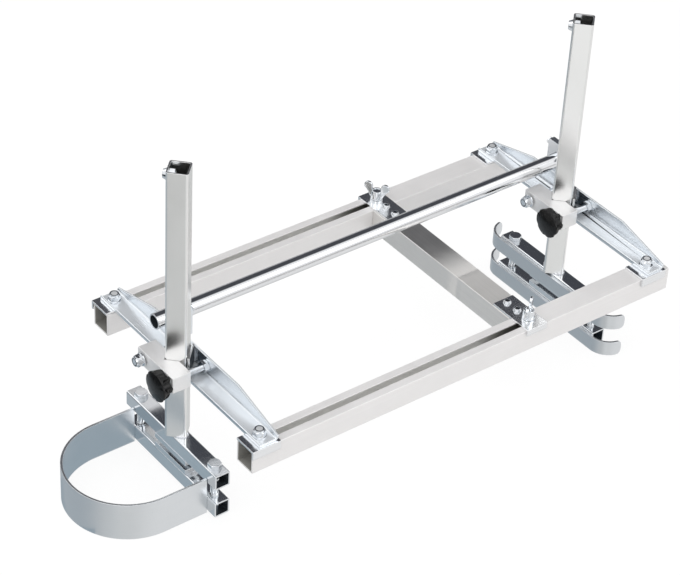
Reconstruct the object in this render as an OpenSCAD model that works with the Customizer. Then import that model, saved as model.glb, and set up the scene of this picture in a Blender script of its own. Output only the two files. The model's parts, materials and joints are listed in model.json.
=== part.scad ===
// Chainsaw mill: a sliding frame of two rails that rides on two clamp posts.
// The origin is the middle of the ground rectangle that the mill covers.
// X runs along the rails and the saw's guide bar, Y across them, Z up.

/* [Rails] */
// Length of a rail
rail_len = 610; // [520:5:900]
// Width of a rail
rail_w = 29; // [27:0.5:36]
// Height of a rail
rail_h = 30; // [26:0.5:40]
// Wall of a rail
rail_wall = 2.2; // [1.6:0.1:3]
// Radius of a rail's long edges
rail_r = 0.8; // [0.5:0.1:1.5]
// Distance between the rails' centre lines
rail_pitch = 289.4; // [270:0.2:360]
// Height of the rails' undersides, as the posts are set
rail_z = 118; // [100:1:160]
// Width of the slot in a rail's top
slot_w = 8.6; // [8.4:0.1:10]

/* [End brackets] */
// Distance from the rails' left end to the left bracket's flange
left_inset = 32; // [28:0.5:60]
// Distance from the rails' right end to the right bracket's flange
right_inset = 12; // [12:0.5:40]
// Sheet thickness of a bracket
bracket_t = 3; // [2:0.25:4]
// Width of a bracket's web, from the flange inwards
web_w = 23.5; // [23:0.25:28]
// Height of a bracket's flange at its middle
flange_h = 25; // [24.5:0.5:34]
// Height of a bracket's flange at its ends
flange_end_h = 6; // [5:0.5:12]
// Length of the flange's full-height middle
flange_crown = 167; // [130:1:200]
// Inner radius of the bend between web and flange
bend_r = 3; // [1:0.5:4]
// Height of the low lip along the web's free edge
web_lip_h = 2.2; // [1:0.1:4]
// Thickness of the low lip
web_lip_t = 1.8; // [1:0.1:2]
// Distance from the flange to the rail bolts
rail_bolt_in = 13.4; // [12.5:0.1:13.5]
// Width of a foot plate, along the rail
foot_w = 37.5; // [36:0.5:48]
// How far a foot plate reaches past the flange
foot_past = 4; // [3:0.5:8]
// How far a foot plate stops short of the rail's inner side
foot_short = 0.8; // [0.4:0.1:3]
// Thickness of the foot plates and the brace plates
plate_t = 2.6; // [2:0.1:4]
// Depth of the lip that a foot plate hangs over its rail
foot_lip = 9; // [4:0.5:14]

/* [Posts] */
// Side of a square post
post_w = 25; // [22:0.5:26]
// Wall of a post
post_wall = 2; // [1.5:0.1:3]
// Corner radius of a post
post_r = 3; // [2:0.25:4]
// Length of a post
post_len = 360; // [300:5:420]
// Clearance around a post, on each side
post_fit = 0.27; // [0.2:0.01:0.5]
// Leg of the angle that guides a post
angle_leg = 28; // [24:0.5:28]
// Thickness of that angle
angle_t = 3; // [2:0.25:4]
// Height of that angle
angle_h = 25; // [20:0.5:30]
// Distance of the stop bolt below a post's top
stop_drop = 9.7; // [9:0.1:20]

/* [Post clamps] */
// Length of a clamp block, across the rails
block_len = 70; // [66:1:84]
// Height of a clamp block
block_h = 20.5; // [18:0.5:24]
// Thickness of a clamp block
block_t = 24; // [20:0.5:28]
// Metal behind the block's V
block_wall = 12; // [9:0.5:15]
// Distance between the block's two bolts
block_pitch = 49; // [48:0.5:54]
// Play that the hinge nut leaves the block
block_play = 1.45; // [1.3:0.05:2]
// Diameter of a clamp knob
knob_d = 37; // [32:0.5:42]
// Height of a clamp knob
knob_h = 17.4; // [15:0.1:22]
// Height of the knob's smooth cap
knob_cap_h = 7.3; // [5:0.1:9]
// Radius of the cap's domed face
knob_dome_r = 59; // [50:1:90]
// Diameter over the finger lobes
knob_grip_d = 36; // [30:0.5:41]
// Diameter of a flute between two lobes
knob_flute_d = 11.5; // [8:0.5:12]
// Diameter of the knob's hub, which bears on the washer
knob_hub_d = 18.5; // [17:0.5:20]
// How deep the stud reaches into the knob
stud_in_knob = 10.4; // [8:0.1:12]
// How far the stud reaches past the flange
stud_past = 3; // [1:0.5:6]
// Number of finger lobes on a knob
knob_lobes = 6; // [5:1:8]

/* [Bar clamps] */
// Side of a square clamp tube
tube_w = 20; // [19:0.5:24]
// Wall of a clamp tube
tube_wall = 2; // [1.5:0.1:2.2]
// Corner radius of a clamp tube
tube_r = 2; // [1:0.25:3]
// Length of a clamp tube
tube_len = 182; // [176:1:190]
// Slot left between the two pads for the guide bar
bar_gap = 6.5; // [6.3:0.1:9]
// Height of a clamp pad
pad_h = 7; // [5:0.25:9]
// Length of a clamp pad
pad_len = 62; // [50:1:100]
// Distance between a clamp's two bolts
clamp_pitch = 150; // [140:1:150]
// Diameter of a clamp bolt
clamp_bolt_d = 9.5; // [8:0.1:9.5]
// Width across flats of a clamp bolt's head and nut
clamp_af = 14.3; // [13:0.1:14.5]
// Height of a clamp bolt's head
clamp_head_h = 6; // [5:0.25:7]
// Height of the nuts in the lower tubes
clamp_nut_h = 8; // [6:0.25:9]
// How far a clamp bolt ends below the lower tube
clamp_tip = 2.5; // [1:0.1:2.8]

/* [Guard and skids] */
// How far the guard and the skids reach below their tubes
skid_drop = 3; // [3:0.25:8]
// Thickness of the guard's and the skids' steel strip
strip_t = 3; // [2:0.25:4]
// Height of the nose guard
guard_h = 50; // [40:1:56]
// Straight length of the nose guard's two legs
guard_leg = 56.7; // [20:0.1:90]
// Outer half width of the nose guard, and the radius of its bend
guard_r = 76; // [74.5:0.5:84]
// Height of a skid
skid_h = 20; // [14:0.5:22]
// Outer radius of a skid's curled ends
curl_r = 27; // [20:0.5:27]
// Straight half length of a skid
skid_half = 92; // [91:0.5:95]

/* [Handle] */
// Diameter of the handle tube
handle_d = 19; // [16:0.5:22]
// Wall of the handle tube
handle_wall = 1.8; // [1.2:0.1:3]
// Place of the handle across the rails
handle_y = 40.7; // [38:0.1:60]
// Height of the handle above the rails' tops
handle_up = 47; // [46:0.5:80]
// How far the handle reaches past the left flange
handle_past = 27; // [10:1:40]
// Half width of a handle clamp
ear_half = 20.5; // [18:0.5:24]
// Thickness of a handle clamp
ear_t = 8; // [7.5:0.25:8]
// Width of a handle clamp's foot behind the flange
ear_foot = 26; // [16:0.5:26]
// Width of the slit above a handle clamp's bore
ear_slit = 2; // [1:0.1:3]
// Radius of a handle clamp's corners
ear_r = 2; // [1:0.25:4]
// How far the handle reaches past the right handle clamp
handle_out = 0.5; // [0.5:0.5:30]

/* [Centre brace] */
// Place of the brace, right of the rails' middle
brace_x = 95; // [60:1:120]
// Width of the brace tube
brace_w = 32; // [30:0.5:40]
// Wall of the brace tube
brace_wall = 2; // [1.5:0.1:3]
// Radius of the brace tube's long edges
brace_r = 1; // [0.5:0.1:2]
// Width of a brace plate
brace_plate_w = 30; // [28:0.5:32]
// How far a brace plate reaches over the brace
brace_plate_in = 31; // [30:0.5:40]
// Distance from the rail to the outer brace screw
brace_screw_out = 5.2; // [5:0.1:7]
// Distance between a brace plate's two screws
brace_screw_pitch = 18; // [14:0.5:20]
// Depth of a brace plate's lip over its rail
brace_lip = 6; // [3:0.5:10]
// How far the slot ends inside the brace plate's edge
slot_short = 4; // [2:0.5:6]
// How far a brace bolt stands out of its washer
brace_bolt_up = 15; // [14:0.5:22]
// Span of a wing nut over its tips
wing_span = 33; // [28:0.5:36]
// Height of a wing nut
wing_h = 22; // [18:0.5:26]
// Height of its hub
wing_hub_h = 12; // [10:0.5:13]
// Diameter of the hub's foot
wing_hub_d = 15.2; // [14:0.1:17]
// Thickness of a wing
wing_t = 3.5; // [2.5:0.1:4.5]
// Radius of a wing's round tip
wing_tip_r = 5.5; // [4:0.25:6.5]
// Direction of the front wing nut's wings
wing_front_angle = 38; // [0:1:180]
// Direction of the back wing nut's wings
wing_back_angle = 122; // [0:1:180]

/* [Fasteners] */
// Diameter of the rail, block and brace bolts
bolt_d = 8; // [7:0.1:8]
// Width across flats of their heads and nuts
bolt_af = 13; // [12:0.1:13]
// Height of a plain nut
nut_h = 6.5; // [5:0.1:7]
// Height of a hinge bolt's head
bolt_head_h = 5.2; // [4:0.1:6]
// Height of a nut's locking collar
collar_h = 1.9; // [1:0.1:3]
// Diameter of that collar
collar_d = 11.2; // [10.6:0.1:11.8]
// Outer diameter of a washer
washer_d = 16; // [14:0.1:16]
// Thickness of a washer
washer_t = 1.6; // [1:0.1:2]
// Diameter of a rail bolt's round head, inside the rail
round_head_d = 18; // [16:0.5:19]
// Height of that round head
round_head_h = 4; // [3:0.1:5]
// Diameter of the small bolts on the handle clamps
pinch_d = 5; // [4:0.1:5]
// Diameter of the brace screws
screw_d = 6; // [5:0.1:6]
// How far the brace screws reach into the brace
screw_past = 5; // [1:0.5:8]
// How far a stop bolt ends past its nut
stop_past = 1; // [0.5:0.25:3]

/* [Clearances] */
// Gap between flat faces that slide on each other
slide_gap = 0.2; // [0.1:0.05:0.4]
// Radial clearance of a shaft that turns or slides in its bore
run_fit = 0.05; // [0.03:0.01:0.09]
// Radial clearance of a bolt hole
bolt_gap = 0.4; // [0.25:0.05:0.5]

/* [Hidden] */

$fn = 64;
// Overshoot of a cut past the face that it opens
cut = 1;
// Least radius inside a tube's corners
inner_r = 0.4;
diag = sqrt(2);

// Distances along X are first taken from the rails' middle
flange_left = -rail_len / 2 + left_inset;
flange_right = rail_len / 2 - right_inset;
post_back = (post_w / 2 + post_fit + angle_t) * diag;
reach_left = -flange_left + post_back + tube_w / 2 + guard_leg + guard_r;
handle_right = flange_right + bracket_t + ear_t + handle_out;
reach_right = max(rail_len / 2, handle_right, flange_right + foot_past);

// Places along X in the mill's own frame
mid_x = (reach_left - reach_right) / 2;
left_x = mid_x + flange_left;
right_x = mid_x + flange_right;
brace_mid = mid_x + brace_x;
rail_left = mid_x - rail_len / 2;
rail_right = mid_x + rail_len / 2;

// Places along Y
rail_y = rail_pitch / 2;
rail_in = rail_y - rail_w / 2;
rail_out = rail_y + rail_w / 2;
plate_out = rail_out + slide_gap + plate_t;

// Heights
tube_z = skid_drop;
tube_gap = bar_gap + 2 * pad_h;
upper_z = tube_z + tube_w + tube_gap;
post_z = upper_z + tube_w;
rail_top = rail_z + rail_h;
plate_z = rail_top + slide_gap;
web_z = plate_z + plate_t;
web_top = web_z + bracket_t;
block_z = web_top + slide_gap;
block_bolt_z = block_z + block_h / 2;
handle_z = rail_top + handle_up;

// The block's two faces, measured from the post's axis towards -X
block_front = (post_w / 2 + post_fit) * diag + block_wall;
block_back = block_front - block_t;

hole_r = bolt_d / 2 + bolt_gap;
brace_bolt_top = plate_z + plate_t + washer_t + brace_bolt_up;
rail_nut_z = web_top + washer_t;
round_head_z = rail_top - rail_wall - slide_gap;
slot_end = brace_mid + brace_plate_w / 2 - slot_short;

zinc = [0.72, 0.75, 0.78];
alloy = [0.88, 0.88, 0.87];
bright = [0.8, 0.82, 0.84];
black = [0.12, 0.12, 0.13];

// Shared shapes

module along_x() {
    rotate([0, 90, 0]) children();
}

module along_y() {
    rotate([-90, 0, 0]) children();
}

module front_and_back() {
    for (side = [-1, 1]) scale([1, side, 1]) children();
}

module rounded_rect(w, h, r) {
    union() {
        square([w - 2 * r, h], center = true);
        square([w, h - 2 * r], center = true);
        for (x = [-1, 1], y = [-1, 1]) translate([x * (w / 2 - r), y * (h / 2 - r)]) circle(r);
    }
}

// Cross-section of a square tube with round corners
module tube_section(w, h, wall, r) {
    difference() {
        rounded_rect(w, h, r);
        rounded_rect(w - 2 * wall, h - 2 * wall, max(r - wall, inner_r));
    }
}

// A hexagon with its upper corners chamfered
module hex(af, h) {
    corner = af / cos(30) / 2;
    top_r = af * 0.475;
    chamfer_z = h * 0.82;
    intersection() {
        rotate(30) cylinder(r = corner, h = h, $fn = 6);
        rotate_extrude() polygon([[0, 0], [corner, 0], [corner, chamfer_z], [top_r, h], [0, h]]);
    }
}

module nut(af, h, bore_r) {
    difference() {
        hex(af, h);
        translate([0, 0, -cut]) cylinder(r = bore_r, h = h + 2 * cut);
    }
}

// A nut with a round locking collar above its hexagon
module lock_nut(bore_r) {
    difference() {
        union() {
            hex(bolt_af, nut_h);
            cylinder(d = collar_d, h = nut_h + collar_h);
        }
        translate([0, 0, -cut]) cylinder(r = bore_r, h = nut_h + collar_h + 2 * cut);
    }
}

module washer(bore_r) {
    difference() {
        cylinder(d = washer_d, h = washer_t);
        translate([0, 0, -cut]) cylinder(r = bore_r, h = washer_t + 2 * cut);
    }
}

// A round-headed bolt that points up, its head's flat side at z = 0
module round_head_bolt(length) {
    crown_d = round_head_d * 0.7;
    union() {
        cylinder(d = bolt_d, h = length);
        translate([0, 0, -round_head_h]) cylinder(d1 = crown_d, d2 = round_head_d, h = round_head_h);
    }
}

module button_screw(d, length) {
    head_d = d * 1.75;
    crown_d = d * 1.26;
    head_h = d * 0.6;
    socket_d = d * 0.7;
    socket_z = d * 0.24;
    difference() {
        union() {
            cylinder(d1 = head_d, d2 = crown_d, h = head_h);
            translate([0, 0, -length]) cylinder(d = d, h = length);
        }
        translate([0, 0, socket_z]) rotate(30) cylinder(d = socket_d, h = head_h, $fn = 6);
    }
}

// Rails

module rail() {
    difference() {
        translate([rail_left, 0, rail_z + rail_h / 2]) along_x() linear_extrude(rail_len)
            tube_section(rail_h, rail_w, rail_wall, rail_r);
        // Slot that the left bracket and the brace slide in
        translate([rail_left - cut, -slot_w / 2, rail_top - rail_wall - cut])
            cube([slot_end - rail_left + cut - slot_w / 2, slot_w, rail_wall + 2 * cut]);
        translate([slot_end - slot_w / 2, 0, rail_top - rail_wall - cut])
            cylinder(d = slot_w, h = rail_wall + 2 * cut);
        // Hole for the right bracket's bolt
        translate([right_x - rail_bolt_in, 0, rail_top - rail_wall - cut])
            cylinder(r = hole_r, h = rail_wall + 2 * cut);
    }
}

module front_rail() {
    color(alloy) translate([0, -rail_y, 0]) rail();
}

module back_rail() {
    color(alloy) translate([0, rail_y, 0]) rail();
}

// End brackets

// Outline of web, bend, flange and low lip, seen along Y, the flange's inner face at x = 0
module bracket_section() {
    translate([-web_w, 0]) square([web_w - bend_r, bracket_t]);
    translate([0, bend_r + bracket_t]) square([bracket_t, flange_h - bend_r - bracket_t]);
    translate([-bend_r, bend_r + bracket_t]) intersection() {
        difference() {
            circle(bend_r + bracket_t);
            circle(bend_r);
        }
        translate([0, -bend_r - bracket_t]) square(bend_r + bracket_t);
    }
}

// Outline of the flange, seen along X
module flange_outline() {
    crown = flange_crown / 2;
    polygon([
        [-rail_out, 0], [rail_out, 0], [rail_out, flange_end_h], [crown, flange_h],
        [-crown, flange_h], [-rail_out, flange_end_h]
    ]);
}

module post_space(h) {
    side = post_w + 2 * post_fit;
    rotate(45) translate([0, 0, h / 2]) cube([side, side, h], center = true);
}

module bracket(flange_x) {
    lip_from = post_w;
    color(zinc) difference() {
        union() {
            intersection() {
                translate([flange_x, rail_out, web_z]) rotate([90, 0, 0]) linear_extrude(2 * rail_out)
                    bracket_section();
                translate([flange_x - web_w - cut, 0, web_z]) rotate([90, 0, 90])
                    linear_extrude(web_w + bracket_t + 2 * cut) flange_outline();
            }
            front_and_back() translate([flange_x - web_w, lip_from, web_top])
                cube([web_lip_t, rail_out - lip_from, web_lip_h]);
        }
        // Notch for the post
        translate([flange_x - post_back, 0, web_z - cut]) post_space(bracket_t + 2 * cut);
        front_and_back() {
            translate([flange_x - rail_bolt_in, rail_y, web_z - cut])
                cylinder(r = hole_r, h = bracket_t + 2 * cut);
            translate([flange_x - cut, block_pitch / 2, block_bolt_z])
                along_x() cylinder(r = hole_r, h = bracket_t + 2 * cut);
        }
    }
}

module foot_plates(flange_x) {
    color(zinc) front_and_back() difference() {
        union() {
            translate([flange_x + foot_past - foot_w, rail_in + foot_short, plate_z])
                cube([foot_w, plate_out - rail_in - foot_short, plate_t]);
            translate([flange_x + foot_past - foot_w, plate_out - plate_t, plate_z - foot_lip])
                cube([foot_w, plate_t, foot_lip + plate_t]);
        }
        translate([flange_x - rail_bolt_in, rail_y, plate_z - cut])
            cylinder(r = hole_r, h = plate_t + 2 * cut);
    }
}

// Steel angle behind the post, its edge against the flange
module post_guide(flange_x) {
    outer = post_w / 2 + post_fit + angle_t;
    color(zinc) translate([flange_x - post_back, 0, web_top]) linear_extrude(angle_h)
        rotate(45) translate([outer - angle_leg, -outer]) difference() {
            square(angle_leg);
            translate([-cut, angle_t]) square([angle_leg - angle_t + cut, angle_leg]);
        }
}

module rail_bolts(flange_x) {
    color(bright) front_and_back() translate([flange_x - rail_bolt_in, rail_y, round_head_z])
        round_head_bolt(rail_nut_z + nut_h + collar_h - round_head_z);
}

module rail_nuts(flange_x) {
    color(bright) front_and_back() translate([flange_x - rail_bolt_in, rail_y, web_top]) {
        washer(bolt_d / 2 + run_fit);
        translate([0, 0, washer_t]) lock_nut(bolt_d / 2 + run_fit);
    }
}

module left_bracket() {
    bracket(left_x);
}

module right_bracket() {
    bracket(right_x);
}

module left_foot_plates() {
    foot_plates(left_x);
}

module right_foot_plates() {
    foot_plates(right_x);
}

module left_post_guide() {
    post_guide(left_x);
}

module right_post_guide() {
    post_guide(right_x);
}

module left_rail_bolts() {
    rail_bolts(left_x);
}

module right_rail_bolts() {
    rail_bolts(right_x);
}

module left_rail_nuts() {
    rail_nuts(left_x);
}

module right_rail_nuts() {
    rail_nuts(right_x);
}

// Post clamps

// Moves what is drawn up the Z axis to a block bolt, pointing to +X from the post's axis
module at_block_bolt(flange_x, side) {
    translate([flange_x - post_back, side * block_pitch / 2, block_bolt_z]) along_x() children();
}

// Nut welded to the flange, which the knob's stud screws into
module weld_nut(flange_x) {
    color(bright) at_block_bolt(flange_x, -1) translate([0, 0, post_back - nut_h])
        nut(bolt_af, nut_h, bolt_d / 2 + run_fit);
}

module hinge_bolt(flange_x) {
    tip = block_front + block_play + washer_t + nut_h + collar_h;
    color(bright) at_block_bolt(flange_x, 1) {
        translate([0, 0, post_back + bracket_t]) hex(bolt_af, bolt_head_h);
        translate([0, 0, -tip]) cylinder(d = bolt_d, h = tip + post_back + bracket_t);
    }
}

module hinge_nut(flange_x) {
    color(bright) at_block_bolt(flange_x, 1) translate([0, 0, -block_front - block_play]) mirror([0, 0, 1]) {
        washer(bolt_d / 2 + run_fit);
        translate([0, 0, washer_t]) lock_nut(bolt_d / 2 + run_fit);
    }
}

module clamp_block(flange_x) {
    color(alloy) difference() {
        translate([flange_x - post_back - block_front, -block_len / 2, block_z])
            cube([block_t, block_len, block_h]);
        translate([flange_x - post_back, 0, block_z - cut]) post_space(block_h + 2 * cut);
        for (side = [-1, 1]) at_block_bolt(flange_x, side) translate([0, 0, -block_front - cut])
            cylinder(r = hole_r, h = block_t + 2 * cut);
    }
}

// Lobed grip under a smooth, slightly domed cap, drawn upwards from its washer
module knob_body() {
    grip_z = knob_h * 0.1;
    cap_z = knob_h - knob_cap_h;
    difference() {
        union() {
            cylinder(d = knob_hub_d, h = cap_z + cut);
            translate([0, 0, grip_z]) linear_extrude(cap_z + cut - grip_z) difference() {
                circle(d = knob_grip_d);
                for (i = [0:knob_lobes - 1]) rotate(360 / knob_lobes * (i + 0.5)) translate([knob_d / 2, 0])
                    circle(d = knob_flute_d);
            }
            intersection() {
                translate([0, 0, cap_z]) cylinder(d = knob_d, h = knob_cap_h);
                translate([0, 0, knob_h - knob_dome_r]) sphere(r = knob_dome_r, $fn = 128);
            }
        }
        translate([0, 0, -cut]) cylinder(r = bolt_d / 2 + run_fit, h = stud_in_knob + cut);
    }
}

// The knob's washer keeps a running gap to the block
module at_knob(flange_x) {
    at_block_bolt(flange_x, -1) translate([0, 0, -block_front - slide_gap - washer_t]) mirror([0, 0, 1])
        children();
}

module knob(flange_x) {
    color(black) at_knob(flange_x) knob_body();
}

module knob_stud(flange_x) {
    washer_to_flange = washer_t + slide_gap + block_front + post_back;
    color(bright) at_knob(flange_x) translate([0, 0, stud_in_knob]) mirror([0, 0, 1])
        cylinder(d = bolt_d, h = stud_in_knob + washer_to_flange + bracket_t + stud_past);
}

module knob_washer(flange_x) {
    color(bright) at_knob(flange_x) mirror([0, 0, 1]) washer(bolt_d / 2 + run_fit);
}

module left_weld_nut() {
    weld_nut(left_x);
}

module right_weld_nut() {
    weld_nut(right_x);
}

module left_hinge_bolt() {
    hinge_bolt(left_x);
}

module right_hinge_bolt() {
    hinge_bolt(right_x);
}

module left_hinge_nut() {
    hinge_nut(left_x);
}

module right_hinge_nut() {
    hinge_nut(right_x);
}

module left_clamp_block() {
    clamp_block(left_x);
}

module right_clamp_block() {
    clamp_block(right_x);
}

module left_knob() {
    knob(left_x);
}

module right_knob() {
    knob(right_x);
}

module left_knob_stud() {
    knob_stud(left_x);
}

module right_knob_stud() {
    knob_stud(right_x);
}

module left_knob_washer() {
    knob_washer(left_x);
}

module right_knob_washer() {
    knob_washer(right_x);
}

// Posts

// Moves what is drawn up the Z axis to the stop bolt, on the post's -X +Y face
module at_stop_bolt(flange_x) {
    translate([flange_x - post_back, 0, post_z + post_len - stop_drop]) rotate(45)
        translate([0, post_w / 2, 0]) along_y() children();
}

module post(flange_x) {
    color(bright) difference() {
        translate([flange_x - post_back, 0, post_z]) rotate(45) linear_extrude(post_len)
            tube_section(post_w, post_w, post_wall, post_r);
        at_stop_bolt(flange_x) translate([0, 0, -post_wall - cut])
            cylinder(r = hole_r, h = post_wall + 2 * cut);
    }
}

// Button-headed bolt and the nut inside the post
module stop_bolt(flange_x) {
    color(bright) at_stop_bolt(flange_x) {
        button_screw(bolt_d, post_wall + nut_h + stop_past);
        translate([0, 0, -post_wall - nut_h]) nut(bolt_af, nut_h, bolt_d / 2 + run_fit);
    }
}

module left_post() {
    post(left_x);
}

module right_post() {
    post(right_x);
}

module left_stop_bolt() {
    stop_bolt(left_x);
}

module right_stop_bolt() {
    stop_bolt(right_x);
}

// Bar clamps

module clamp_tube(flange_x, z) {
    color(zinc) translate([flange_x - post_back, 0, z]) difference() {
        translate([0, tube_len / 2, tube_w / 2]) rotate([90, 0, 0]) linear_extrude(tube_len)
            tube_section(tube_w, tube_w, tube_wall, tube_r);
        for (side = [-1, 1]) translate([0, side * clamp_pitch / 2, -cut])
            cylinder(r = clamp_bolt_d / 2 + bolt_gap, h = tube_w + 2 * cut);
    }
}

module clamp_pad(flange_x, z) {
    color(zinc) translate([flange_x - post_back - tube_w / 2, -pad_len / 2, z])
        cube([tube_w, pad_len, pad_h]);
}

module clamp_bolts(flange_x) {
    shank = post_z - tube_z + clamp_tip;
    color(bright) for (side = [-1, 1]) translate([flange_x - post_back, side * clamp_pitch / 2, post_z]) {
        hex(clamp_af, clamp_head_h);
        translate([0, 0, -shank]) cylinder(d = clamp_bolt_d, h = shank);
    }
}

// Nuts held inside the lower tube
module clamp_nuts(flange_x) {
    color(bright) for (side = [-1, 1])
        translate([flange_x - post_back, side * clamp_pitch / 2, tube_z + tube_wall])
            nut(clamp_af, clamp_nut_h, clamp_bolt_d / 2 + run_fit);
}

module left_upper_tube() {
    clamp_tube(left_x, upper_z);
}

module right_upper_tube() {
    clamp_tube(right_x, upper_z);
}

module left_lower_tube() {
    clamp_tube(left_x, tube_z);
}

module right_lower_tube() {
    clamp_tube(right_x, tube_z);
}

module left_upper_pad() {
    clamp_pad(left_x, upper_z - pad_h);
}

module right_upper_pad() {
    clamp_pad(right_x, upper_z - pad_h);
}

module left_lower_pad() {
    clamp_pad(left_x, tube_z + tube_w);
}

module right_lower_pad() {
    clamp_pad(right_x, tube_z + tube_w);
}

module left_clamp_bolts() {
    clamp_bolts(left_x);
}

module right_clamp_bolts() {
    clamp_bolts(right_x);
}

module left_clamp_nuts() {
    clamp_nuts(left_x);
}

module right_clamp_nuts() {
    clamp_nuts(right_x);
}

// Guard and skids

// Plan of the guard's bow, its open ends reaching past x = 0 by a given length
module guard_plan(r, past) {
    translate([-guard_leg, 0]) intersection() {
        circle(r, $fn = 128);
        translate([-r, -r]) square([r, 2 * r]);
    }
    translate([-guard_leg, -r]) square([guard_leg + past, 2 * r]);
}

module nose_guard() {
    face_x = left_x - post_back - tube_w / 2;
    color(zinc) translate([face_x, 0, 0]) difference() {
        linear_extrude(guard_h) difference() {
            guard_plan(guard_r, 0);
            guard_plan(guard_r - strip_t, cut);
        }
        // Above the lower tube the ends stand clear of the upper tube
        translate([-2 * slide_gap, -guard_r - cut, tube_z + tube_w])
            cube([2 * cut, 2 * (guard_r + cut), guard_h]);
    }
}

module skid(z) {
    face_x = right_x - post_back - tube_w / 2;
    color(zinc) translate([face_x - strip_t, 0, z]) {
        translate([0, -skid_half, 0]) cube([strip_t, 2 * skid_half, skid_h]);
        front_and_back() translate([curl_r, skid_half, 0]) rotate(90) rotate_extrude(angle = 90)
            translate([curl_r - strip_t, 0]) square([strip_t, skid_h]);
    }
}

module upper_skid() {
    skid(upper_z - skid_drop);
}

module lower_skid() {
    skid(tube_z - skid_drop);
}

// Handle

module handle() {
    from_x = left_x - handle_past;
    to_x = mid_x + handle_right;
    color(bright) translate([from_x, handle_y, handle_z]) along_x() difference() {
        cylinder(d = handle_d, h = to_x - from_x);
        translate([0, 0, -cut]) cylinder(d = handle_d - 2 * handle_wall, h = to_x - from_x + 2 * cut);
    }
}

// Half way between the handle and a handle clamp's top
pinch_z = handle_z + (handle_d / 2 + ear_half) / 2;

// Slit clamp around the handle, its foot welded behind the flange
module handle_clamp(flange_x) {
    top = handle_z + ear_half;
    foot_z = web_top + bend_r;
    color(zinc) difference() {
        translate([flange_x + bracket_t, 0, 0]) rotate([90, 0, 90]) linear_extrude(ear_t) union() {
            translate([handle_y, handle_z]) rounded_rect(2 * ear_half, 2 * ear_half, ear_r);
            translate([handle_y + ear_half - ear_foot, foot_z]) square([ear_foot, handle_z - foot_z]);
        }
        translate([flange_x + bracket_t - cut, handle_y, handle_z]) along_x()
            cylinder(r = handle_d / 2 + run_fit, h = ear_t + 2 * cut);
        translate([flange_x + bracket_t - cut, handle_y - ear_slit / 2, handle_z])
            cube([ear_t + 2 * cut, ear_slit, top - handle_z + cut]);
        translate([flange_x + bracket_t + ear_t / 2, handle_y - ear_half - cut, pinch_z]) along_y()
            cylinder(r = pinch_d / 2 + run_fit, h = 2 * (ear_half + cut));
    }
}

module pinch_bolt(flange_x) {
    af = pinch_d * 1.6;
    head_h = pinch_d * 0.7;
    pinch_nut_h = pinch_d * 0.8;
    color(bright) translate([flange_x + bracket_t + ear_t / 2, handle_y, pinch_z]) along_y() {
        translate([0, 0, ear_half]) hex(af, head_h);
        translate([0, 0, -ear_half - pinch_d]) cylinder(d = pinch_d, h = 2 * ear_half + pinch_d);
        translate([0, 0, -ear_half]) mirror([0, 0, 1]) nut(af, pinch_nut_h, pinch_d / 2 + run_fit);
    }
}

module left_handle_clamp() {
    handle_clamp(left_x);
}

module right_handle_clamp() {
    handle_clamp(right_x);
}

module left_pinch_bolt() {
    pinch_bolt(left_x);
}

module right_pinch_bolt() {
    pinch_bolt(right_x);
}

// Centre brace

screw_y = [rail_in - brace_screw_out, rail_in - brace_screw_out - brace_screw_pitch];

module brace() {
    half = rail_in - slide_gap;
    color(alloy) difference() {
        translate([brace_mid, half, rail_z + slide_gap + rail_h / 2]) rotate([90, 0, 0])
            linear_extrude(2 * half) tube_section(brace_w, rail_h, brace_wall, brace_r);
        front_and_back() for (y = screw_y) translate([brace_mid, y, plate_z - brace_wall - cut])
            cylinder(r = screw_d / 2 + run_fit, h = brace_wall + 2 * cut);
    }
}

// Plate from the brace out over the back rail; the front one is its mirror image
module brace_plate() {
    color(zinc) translate([brace_mid, 0, 0]) difference() {
        union() {
            translate([-brace_plate_w / 2, rail_in - brace_plate_in, plate_z])
                cube([brace_plate_w, plate_out - rail_in + brace_plate_in, plate_t]);
            translate([-brace_plate_w / 2, plate_out - plate_t, plate_z - brace_lip])
                cube([brace_plate_w, plate_t, brace_lip + plate_t]);
        }
        translate([0, rail_y, plate_z - cut]) cylinder(r = hole_r, h = plate_t + 2 * cut);
        for (y = screw_y) translate([0, y, plate_z - cut])
            cylinder(r = screw_d / 2 + run_fit, h = plate_t + 2 * cut);
    }
}

module front_brace_plate() {
    scale([1, -1, 1]) brace_plate();
}

module back_brace_plate() {
    brace_plate();
}

module brace_screws() {
    color(bright) front_and_back() for (y = screw_y) translate([brace_mid, y, plate_z + plate_t])
        button_screw(screw_d, plate_t + brace_wall + screw_past);
}

module brace_bolts() {
    color(bright) front_and_back() translate([brace_mid, rail_y, round_head_z])
        round_head_bolt(brace_bolt_top - round_head_z);
}

module brace_washers() {
    color(bright) front_and_back() translate([brace_mid, rail_y, plate_z + plate_t])
        washer(bolt_d / 2 + run_fit);
}

// Hub with two round wings, drawn upwards from its washer, the wings along X
module wing_nut_body() {
    tip_z = wing_h - wing_tip_r;
    root_z = wing_hub_h / 12;
    root_x = wing_hub_d * 0.47;
    crotch_x = wing_hub_d * 0.37;
    crown_d = wing_hub_d * 0.84;
    color(bright) difference() {
        union() {
            cylinder(d1 = wing_hub_d, d2 = crown_d, h = wing_hub_h);
            for (side = [0, 180]) rotate(side) translate([0, wing_t / 2, 0]) rotate([90, 0, 0])
                linear_extrude(wing_t) {
                    translate([wing_span / 2 - wing_tip_r, tip_z]) circle(wing_tip_r);
                    polygon([
                        [0, root_z], [root_x, root_z], [wing_span / 2, tip_z],
                        [wing_span / 2 - wing_tip_r * 2, tip_z], [crotch_x, wing_hub_h], [0, wing_hub_h]
                    ]);
                }
        }
        translate([0, 0, -cut]) cylinder(r = bolt_d / 2 + run_fit, h = wing_h + 2 * cut);
    }
}

module wing_nut(side, angle) {
    translate([brace_mid, side * rail_y, plate_z + plate_t + washer_t + slide_gap]) rotate(angle)
        wing_nut_body();
}

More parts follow.
